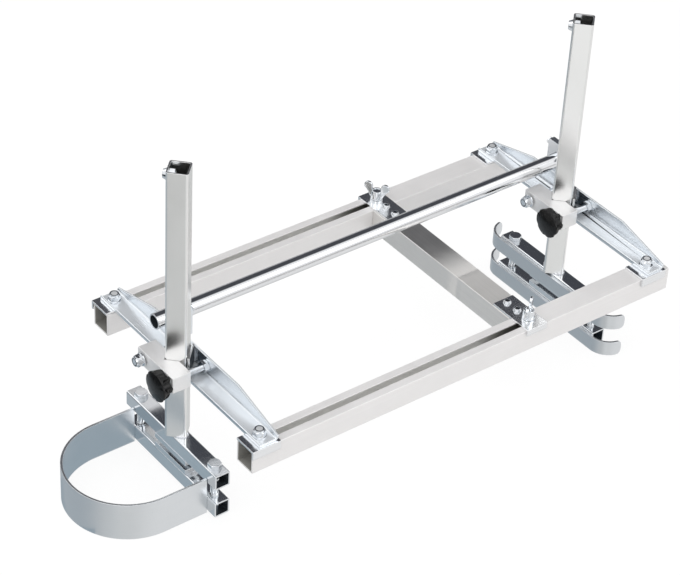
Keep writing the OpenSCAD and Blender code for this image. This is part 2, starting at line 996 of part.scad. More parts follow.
module front_wing_nut() {
    wing_nut(-1, wing_front_angle);
}

module back_wing_nut() {
    wing_nut(1, wing_back_angle);
}

front_rail();
back_rail();
left_bracket();
right_bracket();
left_foot_plates();
right_foot_plates();
left_post_guide();
right_post_guide();
left_rail_bolts();
right_rail_bolts();
left_rail_nuts();
right_rail_nuts();
left_weld_nut();
right_weld_nut();
left_hinge_bolt();
right_hinge_bolt();
left_hinge_nut();
right_hinge_nut();
left_clamp_block();
right_clamp_block();
left_knob();
right_knob();
left_knob_stud();
right_knob_stud();
left_knob_washer();
right_knob_washer();
left_post();
right_post();
left_stop_bolt();
right_stop_bolt();
left_upper_tube();
right_upper_tube();
left_lower_tube();
right_lower_tube();
left_upper_pad();
right_upper_pad();
left_lower_pad();
right_lower_pad();
left_clamp_bolts();
right_clamp_bolts();
left_clamp_nuts();
right_clamp_nuts();
nose_guard();
upper_skid();
lower_skid();
handle();
left_handle_clamp();
right_handle_clamp();
left_pinch_bolt();
right_pinch_bolt();
brace();
front_brace_plate();
back_brace_plate();
brace_screws();
brace_bolts();
brace_washers();
front_wing_nut();
back_wing_nut();
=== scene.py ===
"""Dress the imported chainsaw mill: rounded edges, threads, welds, knobs, metal finishes and a plain studio.

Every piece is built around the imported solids, in metres and in their frame: +X runs along the rails,
+Y across them towards the handle's side, and +Z up. The sizes of new pieces come from those solids.
"""

import json
import logging
import math
import random
from dataclasses import dataclass, replace
from enum import Enum
from typing import Any, Callable, Iterable, Optional, Sequence, Union

import bmesh
import bpy
from mathutils import Matrix, Vector

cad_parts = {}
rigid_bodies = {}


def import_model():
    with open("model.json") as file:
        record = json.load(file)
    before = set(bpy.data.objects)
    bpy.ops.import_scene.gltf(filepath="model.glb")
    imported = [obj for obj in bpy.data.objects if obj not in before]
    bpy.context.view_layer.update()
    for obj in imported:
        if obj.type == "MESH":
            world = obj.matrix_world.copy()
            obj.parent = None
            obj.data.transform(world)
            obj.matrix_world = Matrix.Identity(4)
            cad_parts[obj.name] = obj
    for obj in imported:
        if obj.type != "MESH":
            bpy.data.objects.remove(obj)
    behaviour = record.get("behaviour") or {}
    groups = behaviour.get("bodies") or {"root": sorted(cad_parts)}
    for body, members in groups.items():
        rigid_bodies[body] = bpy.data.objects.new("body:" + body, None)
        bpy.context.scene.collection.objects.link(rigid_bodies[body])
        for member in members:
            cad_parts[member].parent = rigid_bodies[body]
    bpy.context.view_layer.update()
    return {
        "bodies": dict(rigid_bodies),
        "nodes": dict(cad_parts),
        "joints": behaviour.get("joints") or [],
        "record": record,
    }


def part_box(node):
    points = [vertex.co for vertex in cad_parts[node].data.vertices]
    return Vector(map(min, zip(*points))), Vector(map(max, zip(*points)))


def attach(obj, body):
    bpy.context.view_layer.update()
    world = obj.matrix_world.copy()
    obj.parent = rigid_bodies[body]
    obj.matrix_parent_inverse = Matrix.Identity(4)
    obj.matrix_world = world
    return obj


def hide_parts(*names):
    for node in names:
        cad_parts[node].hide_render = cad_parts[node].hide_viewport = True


LOG = logging.getLogger("mill")
MM = 0.001
WELD_DISTANCE = 0.004 * MM
X_AXIS, Z_AXIS = Vector((1, 0, 0)), Vector((0, 0, 1))

# Angle between two faces, in radians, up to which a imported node's triangles make one face
FLAT_ANGLE = math.radians(0.4)
# Share of a face's normal along a tube's axis from which the face is an end of the tube
END_FACING = 0.7
# Widths of the rounded edges of nuts, of washers and of bolts' heads
NUT_EDGE, WASHER_EDGE, HEAD_EDGE = 0.25 * MM, 0.2 * MM, 0.3 * MM
# Share of a metal's clean colour where its lines and patches are even
CLEAN_SHARE = 0.72
# How much more than the lines a metal's patches change its roughness
PATCH_SPREAD = 1.5
# Shares of a metal's lines and specks in its relief
LINE_RELIEF, SPECK_RELIEF = 0.7, 0.3

Triple = tuple[float, float, float]
Color = Triple
Span = tuple[float, float]
Number = Union["Value", float]
InsideTest = Callable[[Vector, Vector], bool]


class Slot(Enum):
    """The record's material slots."""

    RAIL = "rail_aluminium"
    BRACE = "brace_aluminium"
    BLOCK = "block_aluminium"
    SHEET = "zinc_sheet"
    TUBE = "zinc_tube"
    STRIP = "zinc_strip"
    POST = "post_steel"
    HANDLE = "handle_steel"
    FASTENER = "fastener"
    KNOB = "knob_plastic"


class Side(Enum):
    """The two ends of the mill."""

    LEFT = "left"
    RIGHT = "right"

    def node(self, name: str) -> str:
        """Return the full name of a piece at this end."""
        return f"{self.value}_{name}"

    @property
    def carrier(self) -> str:
        """Return the body that carries this end's bracket."""
        return "left_end" if self is Side.LEFT else "frame"


class Grain(Enum):
    """Which way the lines left by rolling, drawing or extruding run, as noise scales per metre."""

    ALONG_X = (5.0, 900.0, 900.0)
    ALONG_Y = (900.0, 5.0, 900.0)
    ALONG_Z = (900.0, 900.0, 5.0)
    LEVEL = (9.0, 9.0, 900.0)
    NONE = (150.0, 150.0, 150.0)


@dataclass(frozen=True)
class Value:
    """A socket of a node tree, with the arithmetic that adds its Math nodes."""

    graph: "Graph"
    socket: bpy.types.NodeSocket

    def _math(self, operation: str, first: Number, second: Number) -> "Value":
        """Add a Math node for one operation."""
        return self.graph.node("ShaderNodeMath", {"operation": operation}, {0: first, 1: second})

    def __add__(self, other: Number) -> "Value":
        """Add a value."""
        return self._math("ADD", self, other)

    __radd__ = __add__

    def __sub__(self, other: Number) -> "Value":
        """Subtract a value."""
        return self._math("SUBTRACT", self, other)

    def __rsub__(self, other: Number) -> "Value":
        """Subtract this from a value."""
        return self._math("SUBTRACT", other, self)

    def __mul__(self, other: Number) -> "Value":
        """Multiply by a value."""
        return self._math("MULTIPLY", self, other)

    __rmul__ = __mul__

    def at_least(self, other: Number) -> "Value":
        """Return the larger of two values."""
        return self._math("MAXIMUM", self, other)


class Graph:
    """A node tree that is filled one node at a time."""

    def __init__(self, tree: bpy.types.NodeTree) -> None:
        """Empty the tree of a material or of the world, and start on it."""
        self.tree = tree
        tree.nodes.clear()

    def node(self, kind: str, settings: dict[str, Any], inputs: dict[Any, Any], output: Any = 0) -> Value:
        """Add a node.

        Args:
            kind: The node's type.
            settings: Its properties, which are set first.
            inputs: A value or a link for each socket, by name or number.
            output: The name or number of the socket to return.

        Returns:
            That output socket, or the first input of a node without outputs.
        """
        made = self.tree.nodes.new(kind)
        for key, setting in settings.items():
            setattr(made, key, setting)
        for key, value in inputs.items():
            if isinstance(value, Value):
                self.tree.links.new(value.socket, made.inputs[key])
            else:
                made.inputs[key].default_value = value
        outputs = made.outputs
        return Value(self, outputs[output] if len(outputs) else made.inputs[0])

    def place(self) -> Value:
        """Return the Object coordinates."""
        return self.node("ShaderNodeTexCoord", {}, {}, "Object")

    def part(self, vector: Value, axis: str) -> Value:
        """Return a vector's X, Y or Z."""
        return self.node("ShaderNodeSeparateXYZ", {}, {"Vector": vector}, axis)

    def scaled(self, vector: Value, scale: Sequence[float]) -> Value:
        """Return a vector scaled along each axis."""
        return self.node("ShaderNodeMapping", {"vector_type": "POINT"}, {"Vector": vector, "Scale": scale})

    def noise(self, vector: Value, scale: float, detail: float = 3.0, roughness: float = 0.55) -> Value:
        """Return a noise between 0 and 1."""
        inputs = {"Vector": vector, "Scale": scale, "Detail": detail, "Roughness": roughness}
        return self.node("ShaderNodeTexNoise", {}, inputs, "Fac")

    def smooth(self, value: Value, span: Span) -> Value:
        """Return a smooth step from 0 at a span's start to 1 at its end."""
        inputs = {"Value": value, "From Min": span[0], "From Max": span[1]}
        return self.node("ShaderNodeMapRange", {"interpolation_type": "SMOOTHSTEP"}, inputs)

    def band(self, value: Value, rise: Span, fall: Span) -> Value:
        """Return a band that rises from 0 to 1 over one span and falls to 0 over another."""
        return self.smooth(value, rise) * (1 - self.smooth(value, fall))

    def mix(self, factor: Value, first: Any, second: Any) -> Value:
        """Return a mix of two colours."""
        return self.node("ShaderNodeMix", {"data_type": "RGBA"}, {0: factor, 6: first, 7: second}, 2)

    def bump(self, height: Value, depth: float) -> Value:
        """Return the normal of a relief of this depth, in metres."""
        return self.node("ShaderNodeBump", {}, {"Strength": 1.0, "Distance": depth, "Height": height})


def rgba(color: Color) -> tuple[float, float, float, float]:
    """Return a colour with full alpha."""
    return (*color, 1.0)


@dataclass(frozen=True)
class Finish:
    """A finish that goes by its material's name; each kind of finish has its own shader."""

    name: str

    def shader(self, graph: Graph) -> Value:
        """Add the finish's nodes and return its shader."""
        raise NotImplementedError

    def material(self) -> bpy.types.Material:
        """Make the material on first use.

        Returns:
            The material.
        """
        found = bpy.data.materials.get(self.name)
        if found:
            return found
        material = bpy.data.materials.new(self.name)
        material.use_nodes = True
        graph = Graph(material.node_tree)
        graph.node("ShaderNodeOutputMaterial", {}, {"Surface": self.shader(graph)})
        return material


@dataclass(frozen=True)
class Metal(Finish):
    """A metal with fine lines, soft patches and specks.

    Args:
        color: Colour of the clean metal.
        shade: Colour of its darker streaks and patches.
        roughness: Mean roughness.
        spread: How far streaks and patches change the roughness.
        grain: Which way its lines run.
        streaks: How much the lines show in the colour.
        patches: How much soft patches show in the colour.
        relief: Depth of the lines, in metres.
        metallic: How metallic the surface is.
        patch_scale: Noise scale of the patches, per metre.
        speck_scale: Noise scale of the specks, per metre.
    """

    color: Color
    shade: Color
    roughness: float
    spread: float
    grain: Grain
    streaks: float
    patches: float
    relief: float
    metallic: float = 1.0
    patch_scale: float = 42.0
    speck_scale: float = 1400.0

    def shader(self, graph: Graph) -> Value:
        """Add the metal's nodes.

        Args:
            graph: Where they go.

        Returns:
            Its shader.
        """
        place = graph.place()
        lines = graph.noise(graph.scaled(place, self.grain.value), 1.0, 4.0, 0.65)
        patch = graph.noise(place, self.patch_scale)
        speck = graph.noise(place, self.speck_scale, 2.0)
        tone = (lines - 0.5) * (2 * self.streaks) + (patch - 0.5) * (2 * self.patches) + CLEAN_SHARE
        color = graph.mix(tone, rgba(self.shade), rgba(self.color))
        rough = (lines - 0.5) * self.spread + (patch - 0.5) * (PATCH_SPREAD * self.spread) + self.roughness
        height = lines * LINE_RELIEF + speck * SPECK_RELIEF
        return graph.node("ShaderNodeBsdfPrincipled", {}, {
            "Base Color": self.tint(graph, place, color), "Metallic": self.sheen(graph, place),
            "Roughness": rough, "Normal": graph.bump(height, self.relief)})

    def tint(self, graph: Graph, place: Value, color: Value) -> Value:
        """Return the colour, here the same all over."""
        return color

    def sheen(self, graph: Graph, place: Value) -> Number:
        """Return how metallic it is, here the same all over."""
        return self.metallic


@dataclass(frozen=True)
class RubbedMetal(Metal):
    """A bright drawn tube along Y, rubbed matt in a band across it, in front of the band and on its side.

    Args:
        wander: How far the band's edges wander.
        band_starts: Span of Y over which the band begins.
        band_ends: Span of Y over which it ends.
        front_ends: Span of Y over which the matt part in front of it ends.
        side_ends: Span of X over which the matt side ends.
        band_matt: How matt the band is, from 0 to 1.
        front_matt: How matt the part in front of it is.
        side_matt: How matt the side is.
    """

    wander: float = 3.9 * MM
    band_starts: Span = (-38.8 * MM, -32.3 * MM)
    band_ends: Span = (-31 * MM, 2.8 * MM)
    front_ends: Span = (-44 * MM, -18 * MM)
    side_ends: Span = (146 * MM, 146.5 * MM)
    band_matt: float = 0.62
    front_matt: float = 0.4
    side_matt: float = 0.35

    def sheen(self, graph: Graph, place: Value) -> Value:
        """Add the nodes that make it less metallic where it is rubbed.

        Args:
            graph: Where they go.
            place: The Object coordinates.

        Returns:
            How metallic it is.
        """
        y = graph.part(place, "Y") + (graph.noise(place, 60.0, 2.0) - 0.5) * self.wander
        band = graph.band(y, self.band_starts, self.band_ends) * self.band_matt
        front = (1 - graph.smooth(y, self.front_ends)) * self.front_matt
        side = (1 - graph.smooth(graph.part(place, "X"), self.side_ends)) * self.side_matt
        return self.metallic - band.at_least(front).at_least(side)


@dataclass(frozen=True)
class FoggedMetal(Metal):
    """A bright metal whose level faces look matt and light.

    Args:
        matt: How matt its level faces are, from 0 to 1.
        tilt: Span of a face's upward share over which it turns matt.
    """

    matt: float = 0.55
    tilt: Span = (0.2, 0.9)

    def sheen(self, graph: Graph, place: Value) -> Value:
        """Return how metallic it is: less where it faces up."""
        facing = graph.part(graph.node("ShaderNodeNewGeometry", {}, {}, "Normal"), "Z")
        return self.metallic - graph.smooth(facing, self.tilt) * self.matt


@dataclass(frozen=True)
class HollowMetal(Metal):
    """The pale metal inside a slotted rail, with painted shade near its open end and under the brace, where
    little light gets in.

    Args:
        painted_shade: Colour of the shade painted near the open end and under the brace.
        open_end: Span of X over which the painted shade at the open end runs out.
        brace_end: Span of X over which the painted shade under the brace is reached.
    """

    painted_shade: Color = (0.30, 0.295, 0.275)
    open_end: Span = (-216 * MM, -208 * MM)
    brace_end: Span = (93 * MM, 138 * MM)

    def tint(self, graph: Graph, place: Value, color: Value) -> Value:
        """Add the nodes that mix in the painted shade.

        Args:
            graph: Where they go.
            place: The Object coordinates.
            color: The pale colour.

        Returns:
            The mixed colour.
        """
        x = graph.part(place, "X")
        # Painted shade: darker towards the open end and under the brace
        ends = (1 - graph.smooth(x, self.open_end)).at_least(graph.smooth(x, self.brace_end))
        return graph.mix(ends, color, rgba(self.painted_shade))


@dataclass(frozen=True)
class Plastic(Finish):
    """Moulded plastic with a fine grain, lighter where hands have rubbed it.

    Args:
        color: Its colour.
        worn: Its colour where it is rubbed.
        roughness: Mean roughness.
        gloss: Strength of its reflections, 0.5 being a plastic's usual one.
        relief: Depth of the grain, in metres.
        worn_from: Span of the patches' noise over which the worn colour takes over.
        grain_scale: Scale of the grain's noise, per metre.
        patch_scale: Scale of the patches' noise.
        grain_spread: How much the roughness varies with the grain.
        patch_spread: How much it varies with the patches.
    """

    color: Color
    worn: Color
    roughness: float
    gloss: float = 0.32
    relief: float = 0.03 * MM
    worn_from: Span = (0.45, 0.75)
    grain_scale: float = 2600.0
    patch_scale: float = 120.0
    grain_spread: float = 0.1
    patch_spread: float = 0.25

    def shader(self, graph: Graph) -> Value:
        """Add the plastic's nodes.

        Args:
            graph: Where they go.

        Returns:
            Its shader.
        """
        place = graph.place()
        grain = graph.noise(place, self.grain_scale, 2.0)
        patch = graph.noise(place, self.patch_scale)
        color = graph.mix(graph.smooth(patch, self.worn_from), rgba(self.color), rgba(self.worn))
        rough = (patch - 0.5) * self.patch_spread + (grain - 0.5) * self.grain_spread + self.roughness
        return graph.node("ShaderNodeBsdfPrincipled", {}, {
            "Base Color": color, "Roughness": rough, "Normal": graph.bump(grain, self.relief),
            "Specular IOR Level": self.gloss})


@dataclass(frozen=True)
class Glow(Finish):
    """An even glow.

    Args:
        color: Its colour.
        strength: Its strength.
    """

    color: Color
    strength: float

    def shader(self, graph: Graph) -> Value:
        """Return the glow."""
        return graph.node("ShaderNodeEmission", {}, {"Color": rgba(self.color), "Strength": self.strength})


@dataclass(frozen=True)
class GlowingPaint(Glow):
    """A matt paint that the camera sees mostly as a glow, so that a shadow on it stays faint.

    Args:
        paint: The paint's colour.
        seen: Share of the glow in what the camera sees.
    """

    paint: Color
    seen: float

    def shader(self, graph: Graph) -> Value:
        """Add the paint's nodes.

        Args:
            graph: Where they go.

        Returns:
            Its shader.
        """
        camera = graph.node("ShaderNodeLightPath", {}, {}, "Is Camera Ray")
        paint = graph.node("ShaderNodeBsdfDiffuse", {}, {"Color": rgba(self.paint)})
        glow = super().shader(graph)
        return graph.node("ShaderNodeMixShader", {}, {0: camera * self.seen, 1: paint, 2: glow})


MILL_ALUMINIUM = Metal("mill aluminium", (0.89, 0.875, 0.87), (0.80, 0.785, 0.78), 0.5, 0.12,
                       Grain.ALONG_X, 0.4, 0.3, 0.006 * MM, 0.4)
BRUSHED_ALUMINIUM = RubbedMetal("brushed aluminium", (0.79, 0.775, 0.755), (0.65, 0.635, 0.615), 0.32, 0.08,
                                Grain.ALONG_Y, 0.5, 0.25, 0.008 * MM, 0.92)
CUT_ALUMINIUM = Metal("machined aluminium", (0.90, 0.895, 0.895), (0.74, 0.735, 0.73), 0.42, 0.12,
                      Grain.ALONG_Y, 0.7, 0.4, 0.01 * MM, 0.5)
ZINC_SHEET = FoggedMetal("bright zinc sheet", (0.84, 0.87, 0.90), (0.76, 0.80, 0.84), 0.27, 0.02,
                         Grain.ALONG_Y, 0.1, 0.15, 0.0005 * MM, patch_scale=18.0)
EAR_SHEET = replace(ZINC_SHEET, name="bright zinc ear", matt=0.0)
ZINC_PLATE = Metal("bright zinc plate", (0.91, 0.915, 0.925), (0.78, 0.80, 0.82), 0.19, 0.08,
                   Grain.ALONG_X, 0.5, 0.3, 0.003 * MM)
ZINC_TUBE = Metal("zinc on square tube", (0.82, 0.84, 0.86), (0.68, 0.71, 0.74), 0.11, 0.05,
                  Grain.ALONG_Y, 0.5, 0.3, 0.002 * MM)
ZINC_STRIP = Metal("zinc on flat strip", (0.78, 0.80, 0.82), (0.70, 0.73, 0.75), 0.3, 0.06,
                   Grain.LEVEL, 0.2, 0.3, 0.002 * MM)
POST_STEEL = Metal("zinc on post", (0.90, 0.90, 0.89), (0.83, 0.83, 0.825), 0.24, 0.05,
                   Grain.ALONG_Z, 0.3, 0.25, 0.003 * MM)
HANDLE_STEEL = Metal("bright drawn tube", (0.86, 0.865, 0.875), (0.76, 0.77, 0.79), 0.12, 0.04,
                     Grain.ALONG_X, 0.25, 0.25, 0.001 * MM)
BRIGHT_STEEL = Metal("bright fastener", (0.84, 0.86, 0.88), (0.66, 0.69, 0.73), 0.14, 0.06,
                     Grain.NONE, 0.3, 0.4, 0.006 * MM)
BOLT_END = Metal("cut bolt end", (0.86, 0.87, 0.88), (0.66, 0.68, 0.70), 0.5, 0.15,
                 Grain.NONE, 0.3, 0.4, 0.02 * MM, 0.6)
WELD_METAL = Metal("plated weld", (0.84, 0.85, 0.87), (0.50, 0.52, 0.56), 0.18, 0.15,
                   Grain.NONE, 0.5, 0.6, 0.04 * MM)
# The rail's inside: pale metal, with painted shade near its open end and under the brace
RAIL_INSIDE = HollowMetal("rail inside", (0.92, 0.915, 0.90), (0.86, 0.855, 0.84), 0.6, 0.1,
                          Grain.ALONG_X, 0.3, 0.3, 0.01 * MM, 0.2)
# Painted shade: a near-black lining for the insides of tubes, the post and the handle, the post guide's V
# and the screws' sockets, where little light reaches
PAINTED_SHADE_ZINC = Metal("painted shade inside", (0.10, 0.12, 0.14), (0.05, 0.06, 0.07), 0.45, 0.1,
                  Grain.NONE, 0.3, 0.4, 0.01 * MM, 0.8)
BLACK_PLASTIC = Plastic("black satin plastic", (0.004, 0.004, 0.004), (0.009, 0.009, 0.009), 0.22)
NYLON = Plastic("dark nylon", (0.03, 0.035, 0.045), (0.06, 0.065, 0.08), 0.5)
WHITE_FLOOR = GlowingPaint("white floor", (1, 1, 1), 1.08, (0.75, 0.75, 0.75), 0.8)
# Painted reflection: a glow that stands for the shaded floor inside the guard, seen only by metal
FLOOR_SHADE_CARD = Glow("floor shade card", (0.36, 0.43, 0.48), 1.0)


class Mesh:
    """A bmesh with the operators that the mill's pieces need."""

    def __init__(self) -> None:
        """Start an empty mesh."""
        self.bm = bmesh.new()

    @classmethod
    def of_node(cls, node: str) -> "Mesh":
        """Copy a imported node, its loose triangles joined and its flat faces made whole.

        Args:
            node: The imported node.

        Returns:
            The copy.
        """
        made = cls()
        made.bm.from_mesh(FRAME["nodes"][node].data)
        bmesh.ops.remove_doubles(made.bm, verts=made.bm.verts, dist=WELD_DISTANCE)
        bmesh.ops.dissolve_limit(made.bm, angle_limit=FLAT_ANGLE, verts=made.bm.verts, edges=made.bm.edges,
                                 use_dissolve_boundaries=False)
        return made

    def round_edges(self, width: float, segments: int = 2, least: float = 50.0) -> "Mesh":
        """Round the outer edges.

        Args:
            width: Width of the rounding, in metres.
            segments: Number of facets in it.
            least: Least angle between two faces, in degrees, at which their edge is rounded.

        Returns:
            This mesh.
        """
        limit = math.radians(least)
        edges = [e for e in self.bm.edges if e.is_manifold and e.is_convex and e.calc_face_angle(0) > limit]
        bmesh.ops.bevel(self.bm, geom=edges, offset=width, offset_type="OFFSET", affect="EDGES",
                        segments=segments, profile=0.5, clamp_overlap=False, material=-1)
        return self

    def line(self, inside: InsideTest) -> None:
        """Give a tube's inner walls its second finish, which carries painted shade.

        Args:
            inside: Tells a wall by its middle and its normal.
        """
        for face in self.bm.faces:
            if inside(face.calc_center_median(), face.normal):
                face.material_index = 1

    def move(self, place: Matrix) -> "Mesh":
        """Move the whole mesh by a matrix and return it."""
        bmesh.ops.transform(self.bm, matrix=place, verts=self.bm.verts)
        return self

    def join(self, other: "Mesh") -> None:
        """Add another mesh and free it.

        Args:
            other: The other mesh.
        """
        data = bpy.data.meshes.new("joined")
        other.bm.to_mesh(data)
        self.bm.from_mesh(data)
        bpy.data.meshes.remove(data)
        other.bm.free()

    def cut(self, point: Vector, normal: Vector) -> None:
        """Cut off what lies beyond a plane, and close the cut.

        Args:
            point: A point of the plane.
            normal: The way to the side that goes.
        """
        geom = [*self.bm.verts, *self.bm.edges, *self.bm.faces]
        bmesh.ops.bisect_plane(self.bm, geom=geom, plane_co=point, plane_no=normal, clear_outer=True)
        rims = [e for e in self.bm.edges if e.is_boundary]
        bmesh.ops.holes_fill(self.bm, edges=rims, sides=0)

    def spin(self, outline: Sequence[Span], segments: int, pitch: float = 0.0) -> "Mesh":
        """Add a solid turned about Z, or wound up Z as a thread.

        Args:
            outline: Its outline, as (radius, height) points.
            segments: Facets in a turn.
            pitch: How far a turn rises.

        Returns:
            This mesh.
        """
        made = [self.bm.verts.new((r, 0, z)) for r, z in outline]
        edges = [self.bm.edges.new(ends) for ends in zip(made, made[1:])]
        bmesh.ops.spin(self.bm, geom=[*made, *edges], cent=(0, 0, 0), axis=Z_AXIS,
                       dvec=Z_AXIS * (pitch / segments), angle=2 * math.pi, steps=segments,
                       use_merge=not pitch)
        bmesh.ops.remove_doubles(self.bm, verts=self.bm.verts, dist=WELD_DISTANCE)
        bmesh.ops.recalc_face_normals(self.bm, faces=self.bm.faces)
        return self

    def sweep(self, rings: Iterable[Sequence[Vector]]) -> "Mesh":
        """Add a closed skin over rings of points.

        Args:
            rings: The rings, each with as many points as the others.

        Returns:
            This mesh.
        """
        loops = []
        for ring in rings:
            made = bmesh.ops.create_circle(self.bm, cap_ends=False, segments=len(ring), radius=1.0)["verts"]
            for vert, place in zip(made, ring):
                vert.co = place
            found = set(made)
            loops.append([e for e in self.bm.edges if e.verts[0] in found and e.verts[1] in found])
        for low, high in zip(loops, loops[1:]):
            bmesh.ops.bridge_loops(self.bm, edges=[*low, *high])
        for loop in (loops[0], loops[-1]):
            bmesh.ops.holes_fill(self.bm, edges=loop, sides=0)
        bmesh.ops.recalc_face_normals(self.bm, faces=self.bm.faces)
        return self

    def piece(self, name: str, finish: Finish, body: str, slot: Slot, nodes: Sequence[str] = (),
              smooth: float = 50.0, lining: Optional[Finish] = None) -> None:
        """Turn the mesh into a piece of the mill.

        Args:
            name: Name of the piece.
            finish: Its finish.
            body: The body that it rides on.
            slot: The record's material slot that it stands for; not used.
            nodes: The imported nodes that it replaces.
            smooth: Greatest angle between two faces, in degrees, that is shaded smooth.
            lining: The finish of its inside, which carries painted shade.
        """
        data = bpy.data.meshes.new(name)
        self.bm.to_mesh(data)
        self.bm.free()
        for each in (finish, lining):
            if each:
                data.materials.append(each.material())
        data.shade_smooth()
        data.set_sharp_from_angle(angle=math.radians(smooth))
        made = bpy.data.objects.new(name, data)
        bpy.context.scene.collection.objects.link(made)
        weighted = made.modifiers.new("even normals", "WEIGHTED_NORMAL")
        weighted.keep_sharp = True
        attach(made, body)
        if nodes:
            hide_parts(*nodes)
        LOG.info("%s: %d faces, on %s", name, len(data.polygons), body)


FRAME: dict[str, Any] = {}


def dress(node: str, finish: Finish, body: str, slot: Slot, width: float,
          shape: Optional[Callable[[Mesh], None]] = None, lining: Optional[Finish] = None,
          inside: Optional[InsideTest] = None) -> None:
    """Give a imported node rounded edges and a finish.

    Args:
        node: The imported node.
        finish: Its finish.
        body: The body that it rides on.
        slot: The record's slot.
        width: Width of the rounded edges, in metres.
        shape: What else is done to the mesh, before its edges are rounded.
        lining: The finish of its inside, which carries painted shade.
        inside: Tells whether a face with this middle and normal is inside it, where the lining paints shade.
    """
    mesh = Mesh.of_node(node)
    if shape:
        shape(mesh)
    if inside:
        mesh.line(inside)
    mesh.round_edges(width)
    mesh.piece(f"{node}_dressed", finish, body, slot, [node], lining=lining)


def bright(node: str, body: str, width: float, shape: Optional[Callable[[Mesh], None]] = None) -> None:
    """Dress a bolt, nut or washer in the fasteners' bright finish."""
    dress(node, BRIGHT_STEEL, body, Slot.FASTENER, width, shape)


def middle_of(node: str) -> Vector:
    """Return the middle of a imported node's box."""
    low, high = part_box(node)
    return (low + high) / 2


def size_of(node: str) -> Vector:
    """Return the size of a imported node's box."""
    low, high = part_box(node)
    return high - low


def both_ends(node: str, inset: float, height: float) -> list[Vector]:
    """Return the two places on a node's middle line along Y that lie this far in from its ends."""
    low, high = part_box(node)
    return [Vector((middle_of(node).x, y, height)) for y in (low.y + inset, high.y - inset)]


def box_inside(node: str, axis: int, wall: float) -> InsideTest:
    """Make a test for the inner walls of a rectangular tube.

    Args:
        node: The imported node.
        axis: The axis that it runs along, as a number.
        wall: How deep the inner walls lie under its four sides.

    Returns:
        The test.
    """
    low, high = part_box(node)
    sides = [i for i in range(3) if i != axis]
    return lambda p, n: (abs(n[axis]) < END_FACING
                         and all(low[i] + wall < p[i] < high[i] - wall for i in sides))


def turned_inside(node: str, wall: float) -> InsideTest:
    """Return a test for the inner walls of a square post that stands on edge, deeper than a wall."""
    middle, reach = middle_of(node), size_of(node).x / 2 - wall * math.sqrt(2)
    return lambda p, n: abs(n.z) < END_FACING and abs(p.x - middle.x) + abs(p.y - middle.y) < reach


def round_inside(node: str, wall: float) -> InsideTest:
    """Return a test for the inner wall of a round tube along X, deeper than a wall."""
    middle, radius = middle_of(node), size_of(node).z / 2 - wall
    return lambda p, n: abs(n.x) < END_FACING and math.hypot(p.y - middle.y, p.z - middle.z) < radius


def turns(count: int) -> list[float]:
    """Return angles evenly round a full turn, in radians."""
    return [2 * math.pi * i / count for i in range(count)]


def along(direction: Vector, origin: Vector) -> Matrix:
    """Return the matrix that turns Z to a direction and moves to an origin."""
    return Matrix.Translation(origin) @ Z_AXIS.rotation_difference(direction).to_matrix().to_4x4()


@dataclass(frozen=True)
class Thread:
    """A screw thread: one V-shaped ridge that winds round a shaft.

    Args:
        radius: Radius over the ridge.
        pitch: Distance from one turn to the next.
        steps: Facets in a turn.
        depth: Depth of the thread, as a share of its pitch.
    """

    radius: float
    pitch: float = 1.25 * MM
    steps: int = 20
    depth: float = 0.55

    def rod(self, length: float) -> Mesh:
        """Make a threaded rod from the origin up the Z axis.

        Args:
            length: Its length.

        Returns:
            The rod.
        """
        root = self.radius - self.depth * self.pitch
        outline = []
        for turn in range(math.ceil(length / self.pitch) + 3):
            base = (turn - 1.5) * self.pitch
            outline += [(root, base), (self.radius, base + self.pitch / 2)]
        mesh = Mesh().spin(outline, self.steps, self.pitch)
        mesh.cut(Vector(), -Z_AXIS)
        mesh.cut(Z_AXIS * length, Z_AXIS)
        return mesh


def threaded(node: str, starts: Sequence[Vector], direction: Vector, length: float,
             thread: Thread) -> Callable[[Mesh], None]:
    """Make a shaping step that swaps the end of a bolt's shank for a thread.

    Args:
        node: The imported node, for its name in the log.
        starts: Where the thread starts on each shank's axis.
        direction: Which way the shanks point.
        length: Length of the thread.
        thread: Its form.

    Returns:
        The shaping step.
    """

    def shape(mesh: Mesh) -> None:
        """Cut the shanks and add the threads.

        Args:
            mesh: The bolts' mesh.
        """
        mesh.cut(starts[0], direction)
        for start in starts:
            mesh.join(thread.rod(length).move(along(direction, start)))
        LOG.info("%s: %d threaded ends", node, len(starts))

    return shape


